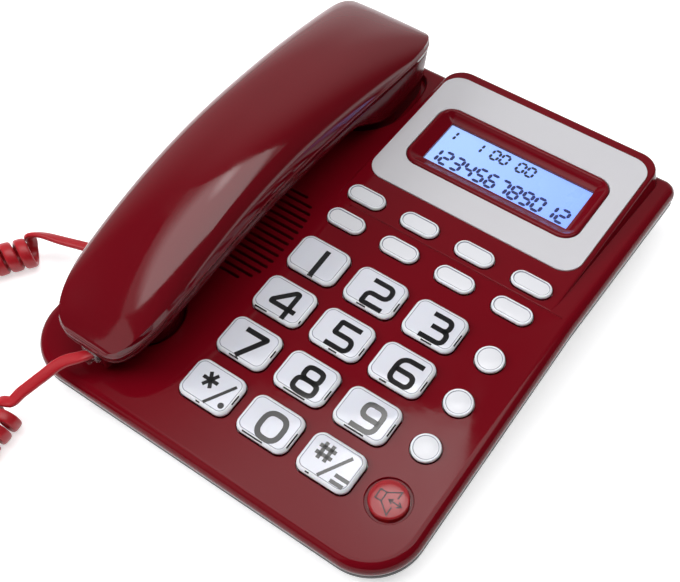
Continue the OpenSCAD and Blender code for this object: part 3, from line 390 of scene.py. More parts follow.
# ---- Cord: a flat tail from the handset, the curls and a flat tail to the base ----
SPINE = np.array([
    (-72.5, -113), (-70, -123.5), (-68, -139), (-68, -155), (-71, -171), (-79, -187), (-93, -198), (-110, -202),
    (-127, -198), (-141, -187), (-150, -172), (-154, -156), (-153, -139), (-149, -121), (-142, -104), (-133, -88),
    (-125, -75), (-117.5, -64), (-112, -56)], float)
TURN_STEPS, TAIL_STEPS = 28, 26


def curve(p, u):
    """Catmull-Rom curve through points whose first and last only steer it."""
    i = min(int(u), len(p) - 4)
    f = u - i
    a, b, c, d = p[i:i + 4]
    return 0.5 * (2 * b + (c - a) * f + (2 * a - 5 * b + 4 * c - d) * f * f + (3 * b - a - 3 * c + d) * f ** 3)


def unit(v):
    return v / max(1e-9, np.linalg.norm(v))


FINE = 12  # steps between two points of the spine
fine_u = np.arange((len(SPINE) - 3) * FINE + 1) / FINE
fine_pts = np.array([curve(SPINE, u) for u in fine_u])
fine_len = np.concatenate([[0], np.cumsum(np.linalg.norm(np.diff(fine_pts, axis=0), axis=1))])
PITCH = fine_len[-1] / TURNS


def curl_point(t):
    u = float(np.interp(t * PITCH, fine_len, fine_u))
    d = unit(curve(SPINE, min(len(SPINE) - 3, u + 0.03)) - curve(SPINE, max(0, u - 0.03)))
    a = math.radians(90 + 360 * t)
    out = np.array([-d[1] * math.cos(a), d[0] * math.cos(a), math.sin(a)])
    mid = curve(SPINE, u)
    return np.array([mid[0], mid[1], COIL_Z]) + CURL_R * out, out


def curl_frame(t):
    p, out = curl_point(t)
    return p, out, unit(curl_point(min(TURNS, t + 0.02))[0] - curl_point(max(0, t - 0.02))[0])


curls = [curl_frame(k / TURN_STEPS) for k in range(int(TURNS * TURN_STEPS) + 1)]
X_AXIS, Y_AXIS, Z_AXIS = np.eye(3)


def steered(p, d0, d1):
    p = [np.array(q, float) for q in p]
    return np.array([p[1] - 2 * np.linalg.norm(p[1] - p[0]) * d0] + p
                    + [p[-2] + 2 * np.linalg.norm(p[-1] - p[-2]) * d1])


def tail(p, n0, n1, lean=0.0):
    """Frames along a tail; in its middle the flat face leans towards the front."""
    top = len(p) - 3
    out = []
    for k in range(TAIL_STEPS + 1):
        u, s = top * k / TAIL_STEPS, k / TAIL_STEPS
        out.append((curve(p, u), n0 * (1 - s) + n1 * s + lean * 4 * s * (1 - s) * np.array([0.35, -0.9, 0]),
                    unit(curve(p, min(top, u + 0.02)) - curve(p, max(0, u - 0.02)))))
    return out


tail_a = steered([EXIT - [1.0, 1.6, 0.1], (-60, -103.4, 22), (-63.6, -111.2, 18.6), (-67, -118.4, 15), curls[0][0]],
                 unit(np.array([-0.6, -0.75, -0.2])), curls[0][2])
tail_b = steered([curls[-1][0], (-121.4, -61.6, 11), (-117.3, -59.6, 12.8), (-109, -56.3, 12),
                  ENTRY - [CORD_W, 0, 0]], curls[-1][2], X_AXIS)
frames = ([(EXIT, Z_AXIS, -Y_AXIS)] + tail(tail_a, Z_AXIS, curls[0][1], 0.7)[:-1] + curls
          + tail(tail_b, curls[-1][1], Z_AXIS)[1:] + [(ENTRY, Z_AXIS, X_AXIS)])


def cord_section():
    """Flat section with round edges and a slight crown on each face."""
    out = []
    for a in (2 * math.pi * k / 20 for k in range(20)):
        c, s = math.cos(a), math.sin(a)
        out.append((CORD_W / 2 * math.copysign(abs(c) ** 0.62, c), CORD_T / 2 * math.copysign(abs(s) ** 0.75, s)))
    return np.array(out)


section = cord_section()
rings = []
for p, n, d in frames:  # a point of the wire, the way its flat face looks, and the way along it
    n = unit(n - d * (n @ d))
    w = np.cross(d, n)
    rings.append(p + section[:, :1] * w + section[:, 1:] * n)
cord = Shape().loft(rings).make("handset_cord", [CORD], None,
                                ("cord_tail_handset", "cord_curls", "cord_tail_base"), "cord_red", angle=60)


def plug(name, place, part, body):
    """Clear modular plug with its latch and four contacts."""
    s = Shape()
    w, h = PLUG_W, PLUG_H
    s.stack(rrect(w, h, 0.5, 3), [(0.3, -9), (0, -8.7), (0, 2.3), (0.3, 2.6)], place)
    s.stack(rrect(2.6, 0.7, 0.2, 2), [(0.1, -5), (0, -4.6), (0, 4.2), (0.15, 4.5)], place, (0, h / 2 + 0.5))
    for k in range(4):
        s.add(*box(-1.9 + 1.1 * k, -1.4 + 1.1 * k, -h / 2 - 0.02, -h / 2 + 1.4, -8.4, -4.4), 1, place)
    return s.make(name, [CLEAR, GOLD], body, (part,), "plug_clear")


def handset_plug_place(p):  # local z points out of the socket, along -Y
    p = np.asarray(p, float)
    return np.stack([HS_X + p[..., 0], HS_FRONT + 2.0 - p[..., 2], EXIT[2] - p[..., 1]], -1)


def base_plug_place(p):  # local z points out of the socket, along -X
    p = np.asarray(p, float)
    return np.stack([ENTRY[0] + 2.6 - p[..., 2], ENTRY[1] - p[..., 0], ENTRY[2] - p[..., 1]], -1)


plug_a = plug("clear_plug_handset", handset_plug_place, "handset_plug", "handset")
plug_b = plug("clear_plug_base", base_plug_place, "base_plug", "base")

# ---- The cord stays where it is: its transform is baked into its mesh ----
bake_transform(cord)


# ---- Base: top shell ----
FOLD_HALF = (TILT - LIP_FALL) / 2


def round_ends(x, y0, r0, y1, r1, steps=16):
    """Corner points of a rectangle with the half width x: those at the rear, then those at the front."""
    rear = [p for cx, a0 in ((1, 0), (-1, 90)) for p in arc(cx * (x - r1), y1 - r1, r1, a0, steps)]
    front = [p for cx, a0 in ((-1, 180), (1, 270)) for p in arc(cx * (x - r0), y0 + r0, r0, a0, 2 * steps)]
    return rear, front


def lid_ring(o, d):
    """Outline of the base at inset o and depth d below its two planes, anticlockwise from the right of the fold."""
    x, fold = BASE_W / 2 - o, d * math.tan(FOLD_HALF)
    rear, front = round_ends(x, o, FRONT_R - o, LIP_LEN - o, max(0.05, REAR_R - o))
    return np.concatenate([place([(px, py, -d) for px, py in points]) for place, points in (
        (on_lip, [(x, fold)] + rear), (on_deck, [(-x, DECK_LEN - fold)] + front))])


LID_LEFT = 2 * 17 + 1  # the left fold point's place in a ring


def lid_body(levels):
    """Closed body through lid rings, upwards, its top split along the fold."""
    rings = [lid_ring(o, d) for o, d in levels]
    s = Shape().loft(rings, ends="open")
    n, top = len(rings[0]), (len(rings) - 1) * len(rings[0])
    s.f += [list(range(n))[::-1], [top + i for i in range(LID_LEFT + 1)],
            [top + i for i in range(LID_LEFT, n)] + [top]]
    s.m += [0, 0, 0]
    return s


def edge_levels(inset, bottom, steps=8):
    er = EDGE_R - inset
    return bottom + [(inset + er * (1 - math.sin(a)), inset + er * (1 - math.cos(a)))
                     for a in (math.pi / 2 * (1 - k / steps) for k in range(steps + 1))]


RIM_D = LIP_H * math.cos(TILT)
lid = lid_body(edge_levels(0, [(4, RIM_D), (0.45, RIM_D), (0.13, RIM_D - 0.13), (0, RIM_D - 0.45)]))
lid_cavity = lid_body(edge_levels(WALL, [(WALL, 40)]))


def block_ring(x_out, y0, y1, rf, rr, z, seg=10):
    """Outline of the display block at one height, in its own frame, anticlockwise."""
    x0, x1 = BLOCK_L - x_out, BLOCK_R + x_out
    corners = ((x1 - rr, y1 - rr, rr, 0), (x0 + rr, y1 - rr, rr, 90),
               (x0 + rf, y0 + rf, rf, 180), (x1 - rf, y0 + rf, rf, 270))
    return on_block([(x, y, z) for corner in corners for x, y in arc(*corner, seg)])


def block_body(inset):
    rings = [block_ring(2.6 - inset, 1 + inset, BLOCK_LEN - 0.5 - inset, 2, 9 - inset, -9)]
    for k in range(7):
        a = math.pi / 2 * (1 - k / 6)
        i = inset + BLOCK_ROUND * (1 - math.sin(a))
        rings.append(block_ring(-i, i, BLOCK_LEN - i, max(0.1, 1.3 - i), 9 - i,
                                -inset - BLOCK_ROUND * (1 - math.cos(a))))
    return Shape().loft(rings)


def half_w(y):
    s = (y - HS_MID) / (HS_L / 2)
    n = FRONT_N if y < HS_MID else REAR_N
    return HS_W / 2 * (1 + HS_TAPER * s) * max(0.0, 1 - abs(s) ** n) ** (1 / n)


def lip_z(y):
    return FOLD_H + (y - FOLD_Y) * math.tan(LIP_FALL)


def ear_loop(inset, seg=28):
    """Outline of the ear cup, or of its well when the inset is negative."""
    reach = HS_END - 0.6 - inset - EAR_Y
    pts = []
    for k in range(seg + 1):  # rear half, from the right side round to the left
        y = EAR_Y + reach * math.sin(math.pi / 2 * k / seg)
        pts.append((half_w(min(y, HS_END - 0.6)) - inset, y))
    right = pts[0][0]
    rear = pts + [(-x, y) for x, y in pts[::-1]]
    front = [(right * math.cos(a), EAR_Y + (EAR_R - 0.2 - inset) * math.sin(a))
             for a in (math.pi + math.pi * k / (2 * seg) for k in range(1, 2 * seg))]
    return [(HS_X + x, y) for x, y in rear + front]


def over_lip(dz):
    """A height above the lip's plane, straight up, as a function of y."""
    return lambda y: lip_z(y) + dz


def ear_ring(inset, height):
    """The ear cup's outline at a height that is a number or depends on y."""
    return np.array([(x, y, height(y) if callable(height) else height) for x, y in ear_loop(inset)])


ear_pan = Shape().loft([ear_ring(-3, EAR_FLOOR - WALL + 0.25), ear_ring(-3, over_lip(-1.1))])
ear_pan.stack(circle(MOUTH_R + 3), [(0, -MOUTH_WELL - WALL), (0, -1)], on_deck, MOUTH)
for x, y, roof in BOSSES:
    ear_pan.stack(circle(3.6, 32), [(0, 7.1), (0, roof)], as_is, (x, y))

QUARTER = [math.pi / 2 * k / 5 for k in range(6)]
ear_well = Shape().loft(
    [ear_ring(-0.8, EAR_FLOOR)]
    + [ear_ring(-0.8 - 1.1 * (1 - math.cos(a)), over_lip(-1.1 * (1 - math.sin(a)) + 0.02)) for a in QUARTER]
    + [ear_ring(-1.9, over_lip(12))])
well_edge = [(-0.9 * (1 - math.cos(a)), -0.9 * (1 - math.sin(a)) + 0.02) for a in QUARTER]
ear_well.stack(circle(MOUTH_R + 0.8), [(0, -MOUTH_WELL)] + well_edge + [(-0.9, 9)], on_deck, MOUTH)

HOLE = [(-KEY_GAP, -16), (-KEY_GAP, -0.22), (-KEY_GAP - 0.22, 0.02), (-KEY_GAP - 0.22, 8)]
KEY_AT = [(KEY_X0 + (i % 3) * PITCH_X, KEY_Y0 - (i // 3) * PITCH_Y) for i in range(12)]
OVAL_X = [OVAL_X0 + i * OVAL_PITCH for i in range(4)]
ROUND_AT = [(ROUND_X, ROUND_Y0 - i * ROUND_PITCH) for i in range(3)]
SPEAKER_BTN_AT = (ROUND_X, SPEAKER_BTN_Y)
cuts = [(rrect(KEY_W, KEY_D, KEY_R), HOLE, on_deck, at) for at in KEY_AT]
cuts += [(pill(OVAL_W, OVAL_D), HOLE, place, (x, y))
         for x in OVAL_X for place, y in ((on_deck, LOWER_OVAL_Y), (on_block, UPPER_OVAL_Y))]
cuts += [(circle(ROUND_DIA / 2), HOLE, on_deck, at) for at in ROUND_AT]
cuts.append((circle(SPEAKER_BTN / 2),
             [(-0.3, -16), (-0.3, -0.9), (-1.2, -0.9), (-1.2, -0.25), (-1.45, 0.02), (-1.45, 8)],
             on_deck, SPEAKER_BTN_AT))
for i in range(SLOT_COUNT):
    from_middle = i - (SLOT_COUNT - 1) / 2
    half = (SPEAKER_DIA / 2 - 1.5) * (1 - abs(from_middle / (SLOT_COUNT / 2)) ** 4) ** 0.25
    cuts.append((pill(2 * half, SLOT_W - 0.4, 6), [(0, -6), (0, -0.25), (-0.25, 0.02), (-0.25, 3)], on_deck,
                 (SLOT_X, SLOT_Y + from_middle * SLOT_PITCH)))
cuts.append((circle(HOOK_HOLE_R, 40), [(0, EAR_FLOOR - 4), (0, EAR_FLOOR + 3)], as_is, (HS_X, HOOK_Y)))
cuts.append((rrect(BEZEL_W - 2.6, BEZEL_D - 2.6, BEZEL_R - 1.5), [(0, -14), (0, 5)], on_block, DISPLAY))
groove = Shape().stack(rrect(GROOVE_X1 - GROOVE_X0, 1.2, 0.55, 4), [(0.15, -0.4), (0, -0.25), (0, 2)], on_deck,
                       ((GROOVE_X0 + GROOVE_X1) / 2, DECK_LEN))

top = boolean(lid, [(JOIN, block_body(0)), (CUT, lid_cavity), (CUT, block_body(WALL)), (JOIN, ear_pan),
                    (CUT, ear_well), (CUT, stacks(cuts)), (CUT, groove)])
piece("top_shell", top, [RED_BASE], "base", ("base_top_shell",), "base_red", 32)
plane_normals(top, ((on_deck, 0), (on_lip, 0), (on_block, 0)))

# ---- Base: bottom shell ----
TUB_TOP, FLOOR_Z = RIM_D + 0.7, 1.2


def floor_ring(inset, z):
    """Outline of the floor with the same count of points as a lid ring."""
    x, y0, y1, r = BASE_W / 2 - 12 - inset, FRONT_Y + 5 + inset, REAR_Y - 10 - inset, 12 - inset
    rear, front = round_ends(x, y0, r, y1, r)
    return np.array([(px, py, z) for px, py in [(x, FOLD_Y)] + rear + [(-x, FOLD_Y)] + front])


def across_bay(half, y0, y1, z0, z1):
    """A box as wide as the battery bay, or as its walls or its door."""
    return box(BAY_X - half, BAY_X + half, y0, y1, z0, z1)


tub = Shape().loft(
    [floor_ring(i, z) for i, z in ((1.5, FLOOR_Z), (0.5, FLOOR_Z), (0.12, FLOOR_Z + 0.15), (0, FLOOR_Z + 0.5))]
    + [lid_ring(i, TUB_TOP + d) for i, d in ((0.3, 2.3), (0.2, 2), (0.2, 0.3), (0.35, 0.05), (1, 0), (4, 0))])
tub_cavity = Shape().loft([floor_ring(WALL, FLOOR_Z + WALL), lid_ring(1.2 + WALL, TUB_TOP + 0.4),
                           lid_ring(1.2 + WALL, 2)])
supports = stacks([(circle(5, 40), [(0, FLOOR_Z + 0.05), (0, 7)], as_is, (x, y)) for x, y, roof in BOSSES])
supports.add(*across_bay(BAY_WALL_HALF, 48, 93, FLOOR_Z + 0.05, 6.6))
recesses = stacks([(circle(3.3, 40), [(-0.3, 0), (-0.3, 1.25), (0, 1.55), (0, 4)], as_is, (x, y))
                   for x, y, roof in BOSSES])
recesses.add(*across_bay(BAY_HALF, 52, 86, 0.2, 21.2))
door_seat = Shape().add(*across_bay(DOOR_HALF, DOOR_Y, 108, 0.2, 3.3))
door_track = Shape().add(*across_bay(TRACK_HALF, DOOR_Y, 108, 2.7, 4.2))
cord_socket = box(-90, -67.7, -55.4, -44.6, 6.05, 15.15)
line_socket = box(-30.2, -17.9, 81, 111, 7.25, 16.75)
bottom = boolean(tub, [(CUT, tub_cavity), (JOIN, supports), (CUT, recesses), (CUT, door_seat), (CUT, door_track),
                       (CUT, Shape().add(*cord_socket).add(*line_socket))])
piece("bottom_shell", bottom, [CHARCOAL], "base", ("base_bottom_shell",), "tub_grey", 32)

# ---- Handset ----
SHELL_X, SHELL_W, CROWN, CROWN_N = HS_X - 0.3, 1.012, 14.0, 3.1


def crease_z(y):
    if y < FLAT_Y:
        return CREASE_H - CREASE_DROP * ((FLAT_Y - y) / (FLAT_Y - HS_FRONT)) ** 2.3
    return CREASE_H - CREASE_FALL * ((y - FLAT_Y) / (HS_END - FLAT_Y)) ** 2


def belly_z(y):
    return crease_z(y) - BAND_H + 2.5 * max(0.0, (HS_FRONT + 34 - y) / 34)


def under_z(y):
    """The lower edge of the band: it comes down over the ear cup in an arch."""
    t = min(1.0, max(0.0, (y - 34) / 32))
    return belly_z(y) + (lip_z(y) + 1.5 - belly_z(y)) * t * t * (3 - 2 * t)


def shell_half(s):
    return SHELL_W * HS_W / 2 * (1 + HS_TAPER * s + 0.02 * max(0.0, s))


def plan():
    """Points of the handset's outline and their outward directions, from the front round the right side."""
    side = []
    for sign, n in ((-1, FRONT_N), (1, REAR_N)):
        part = [(sign * (1 - u ** n) ** (1 / n), u) for u in np.linspace(0, 0.62, 9)]
        t0 = math.acos(0.62 ** (n / 2))
        for t in np.linspace(t0, math.asin(0.6 ** (n / 2)), 34)[1:]:
            part.append((sign * math.sin(t) ** (2 / n), math.cos(t) ** (2 / n)))
        part += [(sign * s, (1 - s ** n) ** (1 / n)) for s in np.linspace(0.6, 0.0, 16)[1:]]
        side += part if sign < 0 else part[::-1][1:]
    right = [(shell_half(s) * u, HS_MID + (HS_L / 2 + (1 if s < 0 else 0)) * s) for s, u in side]
    ring = np.array(right + [(-x, y) for x, y in right[::-1][1:-1]])
    along = np.roll(ring, -1, 0) - np.roll(ring, 1, 0)
    out = np.column_stack([along[:, 1], -along[:, 0]])
    return ring, out / np.linalg.norm(out, axis=1)[:, None]


PLAN, OUTWARD = plan()


def plan_ring(height, inset=0.0, scale=1.0):
    """A ring of the outline, moved in and scaled, at a height that depends on x and y."""
    inset = np.reshape(inset, (-1, 1)) if np.ndim(inset) else inset
    p = (PLAN - OUTWARD * inset - [0, HS_MID]) * scale + [0, HS_MID]
    return np.array([(SHELL_X + x, y, height(x, y)) for x, y in p])


def crown_z(drop):
    def at(x, y):
        s = min(1.0, abs(y - HS_MID) / (HS_L / 2 + (1 if y < HS_MID else 0)))
        u = min(1.0, abs(x) / shell_half((y - HS_MID) / (HS_L / 2)))
        return crease_z(y) + (CROWN - drop) * math.sqrt((1 - s ** 1.7) * (1 - u ** CROWN_N))
    return at


def over_crease(dz):
    return lambda x, y: crease_z(y) + dz


def over_belly(dz):
    return lambda x, y: under_z(y) + dz


def crown_rings(inset, drop, levels, base):
    """Rings from a base ring up over the crown."""
    rings = list(base)
    for k in range(1, levels + 1):
        q = 1 - (k / levels) ** 2.1 * 0.992
        rings.append(plan_ring(crown_z(drop), inset * q, q))
    return rings


FLOOR_SCALES = (0.02, 0.3, 0.6, 0.85)
BEAD = [(0.35, -PARTING + 0.12), (0.1, -PARTING + 0.22), (0, -PARTING + 0.5), (0, -1.15), (-0.06, -1),
        (-0.2, -0.85), (-0.36, -0.6), (-0.45, -0.25), (-0.42, 0.1), (-0.28, 0.4), (-0.1, 0.58)]
crown = Shape().loft(
    crown_rings(0, 0, 64, [plan_ring(over_crease(-PARTING + 0.1), 2, q) for q in FLOOR_SCALES]
                + [plan_ring(over_crease(dz), i) for i, dz in BEAD]))
crown_cavity = Shape().loft(
    crown_rings(2.1, 2.1, 30, [plan_ring(over_crease(-PARTING - 3), 2.1, q) for q in (0.02, 0.5, 1)]
                + [plan_ring(over_crease(-1), 2.1)]))
piece("handset_crown", boolean(crown, [(CUT, crown_cavity)]), [RED], "handset", ("handset_top_shell",),
      "base_red", 50)

BELLY_R = 2.6
UNDER_SCALES = (0.02, 0.2, 0.35, 0.45, 0.55, 0.65, 0.75, 0.85, 0.93)
belly_round = [(BELLY_R * (1 - math.sin(a)), BELLY_R * (1 - math.cos(a)))
               for a in (math.pi / 2 * k / 6 for k in range(7))]
draft = np.array([0.075 * (crease_z(y) - PARTING - under_z(y)) for x, y in PLAN])
belly = Shape().loft(
    [plan_ring(over_belly(0), BELLY_R + draft, q) for q in UNDER_SCALES]
    + [plan_ring(over_belly(dz), i + draft) for i, dz in belly_round]
    + [plan_ring(over_crease(-PARTING - dz), i) for dz, i in ((0.6, 0), (0.25, 0.08), (0.12, 0.3))]
    + [plan_ring(over_crease(-PARTING - 0.1), 2, q) for q in FLOOR_SCALES[::-1]])
belly_cavity = Shape().loft(
    [plan_ring(over_belly(1.9), 2.2 + draft, q) for q in UNDER_SCALES + (1,)]
    + [plan_ring(over_crease(2), 2.2, q) for q in (1,) + FLOOR_SCALES[::-1]])
EAR_BOTTOM = EAR_FLOOR + 0.3
ear_cup = Shape().loft([ear_ring(1.95, EAR_BOTTOM), ear_ring(1.7, EAR_BOTTOM + 0.12),
                        ear_ring(1.6, EAR_BOTTOM + 0.4), ear_ring(1.6, lambda y: belly_z(y) + 2.5)])
ear_inside = Shape().loft([ear_ring(3.4, EAR_BOTTOM + 1.8), ear_ring(3.4, lambda y: belly_z(y) + 4)])
mouth_cup = Shape().stack(circle(MOUTH_R, 96), [(0.4, -3), (0.12, -2.88), (0, -2.6), (0, 17)], on_deck, MOUTH)
mouth_inside = Shape().stack(circle(MOUTH_R - 1.8, 96), [(0, -1.2), (0, 19)], on_deck, MOUTH)
chin = Shape().stack(rrect(13.3, 16, 1.2, 4), [(0.4, 18.4), (0, 18.8), (0, 30)], as_is, (HS_X, -86.4))
chin_slot = Shape().add(*box(HS_X - 4.1, HS_X + 4.1, -100, -82, 20.9, 27.6))
ear_hole = [(0, EAR_FLOOR - 1), (0, EAR_FLOOR + 6)]
holes = [(circle(1, 16), ear_hole, as_is, (HS_X + 7 * math.cos(a), EAR_Y + 7 * math.sin(a)))
         for a in (math.pi / 3 * k for k in range(6))]
holes.append((circle(1, 16), ear_hole, as_is, (HS_X, EAR_Y)))
holes += [(circle(0.8, 16), [(0, -6), (0, 2)], on_deck, (MOUTH[0] + x, MOUTH[1])) for x in (-4, 0, 4)]
holes += [(circle(2.9, 32), [(0, belly_z(y) - 3), (0, belly_z(y) + 1.2)], as_is, (HS_X, y))
          for y in (42.35, -39)]  # the two screws
belly_mesh = boolean(belly, [(CUT, belly_cavity), (JOIN, ear_cup), (JOIN, mouth_cup), (JOIN, chin), (CUT, ear_inside),
                             (CUT, mouth_inside), (CUT, chin_slot), (CUT, stacks(holes))])
piece("handset_belly", belly_mesh, [RED_BAND_SHADED], "handset", ("handset_bottom_shell",), "base_red", 40)


# ---- Keys, buttons and their marks ----
def banded(outline, profile, bands, place, centre):
    """A stack whose bands of faces, from the bottom, have the materials listed; the rest has the first."""
    s = Shape().stack(outline, profile, place, centre)
    n = len(outline(0))
    s.m[:n * len(bands)] = [mat for mat in bands for _ in range(n)]
    return s


def cap_profile(flange, height, *edge):
    """Profile of a cap: its flange under the deck, then the edge as (inset, depth below the top)."""
    return ([(-flange, FLANGE_TOP - FLANGE_T), (-flange, FLANGE_TOP), (0, FLANGE_TOP)]
            + [(inset, height - depth) for inset, depth in edge])


def ink_refraction_sliver(s, x0, x1, y0, y1, outer, inner, along_x):
    """A painted refraction of the digit's ink: a dark sliver lying on the sloping rim, at two depths below the key's
    top.
    """
    v, f = box(x0, x1, y0, y1, KEY_H - outer - 0.5, 0)
    top = [(x, y, KEY_H - (outer if (x > (x0 + x1) / 2 if along_x else y < (y0 + y1) / 2) else inner))
           for x, y, z in v[4:]]
    return s.add(v[:4] + top, f, 3, on_deck)


def rounded_line(points, radii):
    """A line whose corners are arcs."""
    out = [np.array(points[0], float)]
    for k in range(1, len(points) - 1):
        a, b, c = (np.array(p, float) for p in points[k - 1:k + 2])
        d0, d1 = unit(a - b), unit(c - b)
        angle = math.acos(max(-1, min(1, d0 @ d1)))
        r = radii[k - 1] if radii else 0
        if r < 0.05 or angle > 3.1:
            out.append(b)
            continue
        before, after = 0.98 if k == 1 else 0.49, 0.98 if 1 < k == len(points) - 2 else 0.49
        t = min(r / math.tan(angle / 2), before * np.linalg.norm(a - b), after * np.linalg.norm(c - b))
        p0, p1 = b + d0 * t, b + d1 * t
        out += [(1 - u) ** 2 * p0 + 2 * u * (1 - u) * b + u * u * p1 for u in (i / 8 for i in range(9))]
    out.append(np.array(points[-1], float))
    return out


def stroke(s, mat, centre, z0, z1, points, radii, width, closed):
    """A flat band along a line on the deck, `width` wide."""
    p = rounded_line(points, radii) if not closed else [np.array(q, float) for q in points]
    p = [q for i, q in enumerate(p) if i == 0 or np.linalg.norm(q - p[i - 1]) > 1e-6]
    n = len(p)
    left, right = [], []
    for i in range(n):
        d0 = unit(p[i] - p[i - 1]) if closed or i > 0 else unit(p[1] - p[0])
        d1 = unit(p[(i + 1) % n] - p[i]) if closed or i < n - 1 else d0
        m = unit(d0 + d1)
        o = np.array([-m[1], m[0]]) * (width / 2 / max(0.45, m @ d0))
        left.append(p[i] + o)
        right.append(p[i] - o)
    ring = [(q[0] + centre[0], q[1] + centre[1]) for q in left + right]
    v = [(x, y, z) for z in (z0, z1) for x, y in ring]
    k, f = 2 * n, []
    for i in range(n if closed else n - 1):
        j = (i + 1) % n
        f += [[k + n + i, k + n + j, k + j, k + i], [i, j, n + j, n + i],
              [i, k + i, k + j, j], [n + j, k + n + j, k + n + i, n + i]]
    if not closed:
        f += [[0, n, k + n, k], [n - 1, k + n - 1, k + 2 * n - 1, 2 * n - 1]]
    return s.add(v, f, mat, on_deck)


STROKE_W = 2.05


def line(*points, radii=(), width=STROKE_W):
    return points, radii, width, False


def oval(cx, cy, rx, ry, power=2.0, width=STROKE_W, n=40):
    """A closed line: an ellipse, or with a higher power a squarer one."""
    out = []
    for k in range(n):
        c, s = math.cos(2 * math.pi * k / n), math.sin(2 * math.pi * k / n)
        out.append((cx + rx * math.copysign(abs(c) ** (2 / power), c),
                    cy + ry * math.copysign(abs(s) ** (2 / power), s)))
    return out, (), width, True


# Each key's mark is a list of lines, in the key's own plane.
MARKS = {
    "1": [line((1.5, 4.9), (1.5, -7.5), width=2.2)],
    "2": [line((-3, 4), (6.2, 4), (6.2, -1.5), (-2.2, -1.5), (-2.2, -6.3), (6.8, -6.3),
               radii=(3.2, 3.2, 2.2, 0.5))],
    "3": [line((-2.6, 4), (5.6, 4), (5.6, -0.9), (-0.8, -0.9), radii=(2.8, 2.6)),
          line((3.6, -0.9), (6.4, -0.9), (6.4, -6.2), (-3.2, -6.2), radii=(2.4, 3))],
    "4": [line((3.9, -7.4), (3.9, 4.6), (2.5, 4.6), (-4, -2), (-4, -3), (7, -3),
               radii=(0.6, 0.8, 0.6, 0.4))],
    "5": [line((6.2, 4.1), (-2.4, 4.1), (-2.6, -0.9), (5.9, -0.9), (5.9, -6.1), (-3.6, -6.1),
               radii=(0.4, 0.5, 3, 3))],
    "6": [line((7, 4.1), (-2.2, 4.1), (-2.2, -6.1), (6.2, -6.1), (6.2, -0.9), (-2, -0.9),
               radii=(4.2, 3, 3, 3))],
    "7": [line((-4, 4), (5.6, 4), (-1, -7.2), radii=(0.3,), width=2.15)],
    "8": [oval(1.7, 1.7, 3.5, 2.6, 3.2), oval(1.6, -3.6, 4.4, 2.7, 3.2)],
    "9": [line((5.8, -1.4), (-1.9, -1.4), (-1.9, 4.1), (5.8, 4.1), (5.8, -6.1), (-3.4, -6.1),
               radii=(3, 3, 3, 3.4))],
    "0": [oval(1.5, -1.1, 4.5, 5.1, 2.7, 2.15)],
    "star": [line((-1.9 + x, 1.5 + y), (-1.9 - x, 1.5 - y), width=1.5)
             for x, y in ((3.4 * math.cos(a), 3.4 * math.sin(a)) for a in (0, math.pi / 3, 2 * math.pi / 3))]
            + [line((8, 4.4), (1.2, -7), width=1.25), oval(7.6, -4.6, 0.62, 0.62, width=1.2)],
    "hash": [line((x, 5.3), (x, -1.7), width=1.5) for x in (-4.9, -2.1)]
            + [line((-6.9, y), (-0.1, y), width=1.5) for y in (3.2, 0.4)]
            + [line((5.8, 5), (-1.2, -6.8), width=1.3), line((4, -3.3), (9.6, -3.3), width=1.55),
               line((3.6, -5.9), (8.9, -5.9), width=1.55)],
}
# Painted refraction of each digit's ink in the clear rim of its cap: the span along its near edge, then along its right
# edge.
INK_REFRACTION_SPANS = {"1": ((0.2, 2.6), None), "2": ((-3.4, 0.6), (-3.6, 0.4)), "3": ((-1.2, 3.4), (-3.8, 1.6)),
          "4": ((-8.2, -2.6), (-5.4, -4)), "5": ((-0.6, 3), (-4.2, -0.6)), "6": ((-4.6, -1.6), (-4, 0.6)),
          "7": ((-3.4, 0.8), (-1, 2.4)), "8": ((-4.8, 4.6), (-3.8, 0.4)), "9": ((-4.6, 3.6), (-3.2, 2.2)),
          "star": ((-1.6, 0.2), (-2, 2.2)), "0": ((-6.8, 2.2), (-4.6, 2)), "hash": ((-5.6, -4), None)}
KEYS = ("1", "2", "3", "4", "5", "6", "7", "8", "9", "star", "0", "hash")
KEY_PROFILE = cap_profile(1, KEY_H, (0, 1.7), (0, 1.15), (0.07, 0.92), (0.28, 0.66), (0.75, 0.25), (1, 0.1),
                          (1.18, 0.04), (1.26, 0.1), (1.36, 0.1), (1.5, 0.02), (1.8, 0))
# Bands from the bottom: flange, the dark red lower edge (painted shade seen through the clear edge), the lighter rim (a
# painted highlight), the grey groove (painted shade), then the face.
for name, (x, y) in zip(KEYS, KEY_AT):
    s = banded(rrect(KEY_W, KEY_D, KEY_R, 10), KEY_PROFILE, (0, 0, 4) + 6 * (1,) + 3 * (2,), on_deck, (x, y))
    for mark in MARKS[name]:
        stroke(s, 3, (x, y), KEY_H - 0.3, KEY_H + 0.03, *mark)
    near, right = INK_REFRACTION_SPANS[name]
    ink_refraction_sliver(s, x + near[0], x + near[1], y - KEY_D / 2 + 0.3, y - KEY_D / 2 + 0.78, 0.6, 0.19, False)
    if right:
        ink_refraction_sliver(s, x + KEY_W / 2 - 0.72, x + KEY_W / 2 - 0.3, y + right[0], y + right[1], 0.6, 0.24, True)
    s.make("cap_" + name, [KEY_WHITE, RIM, GROOVE_SHADE, KEY_INK, EDGE], "key_" + name, ("key_" + name,), "key_white", 30)

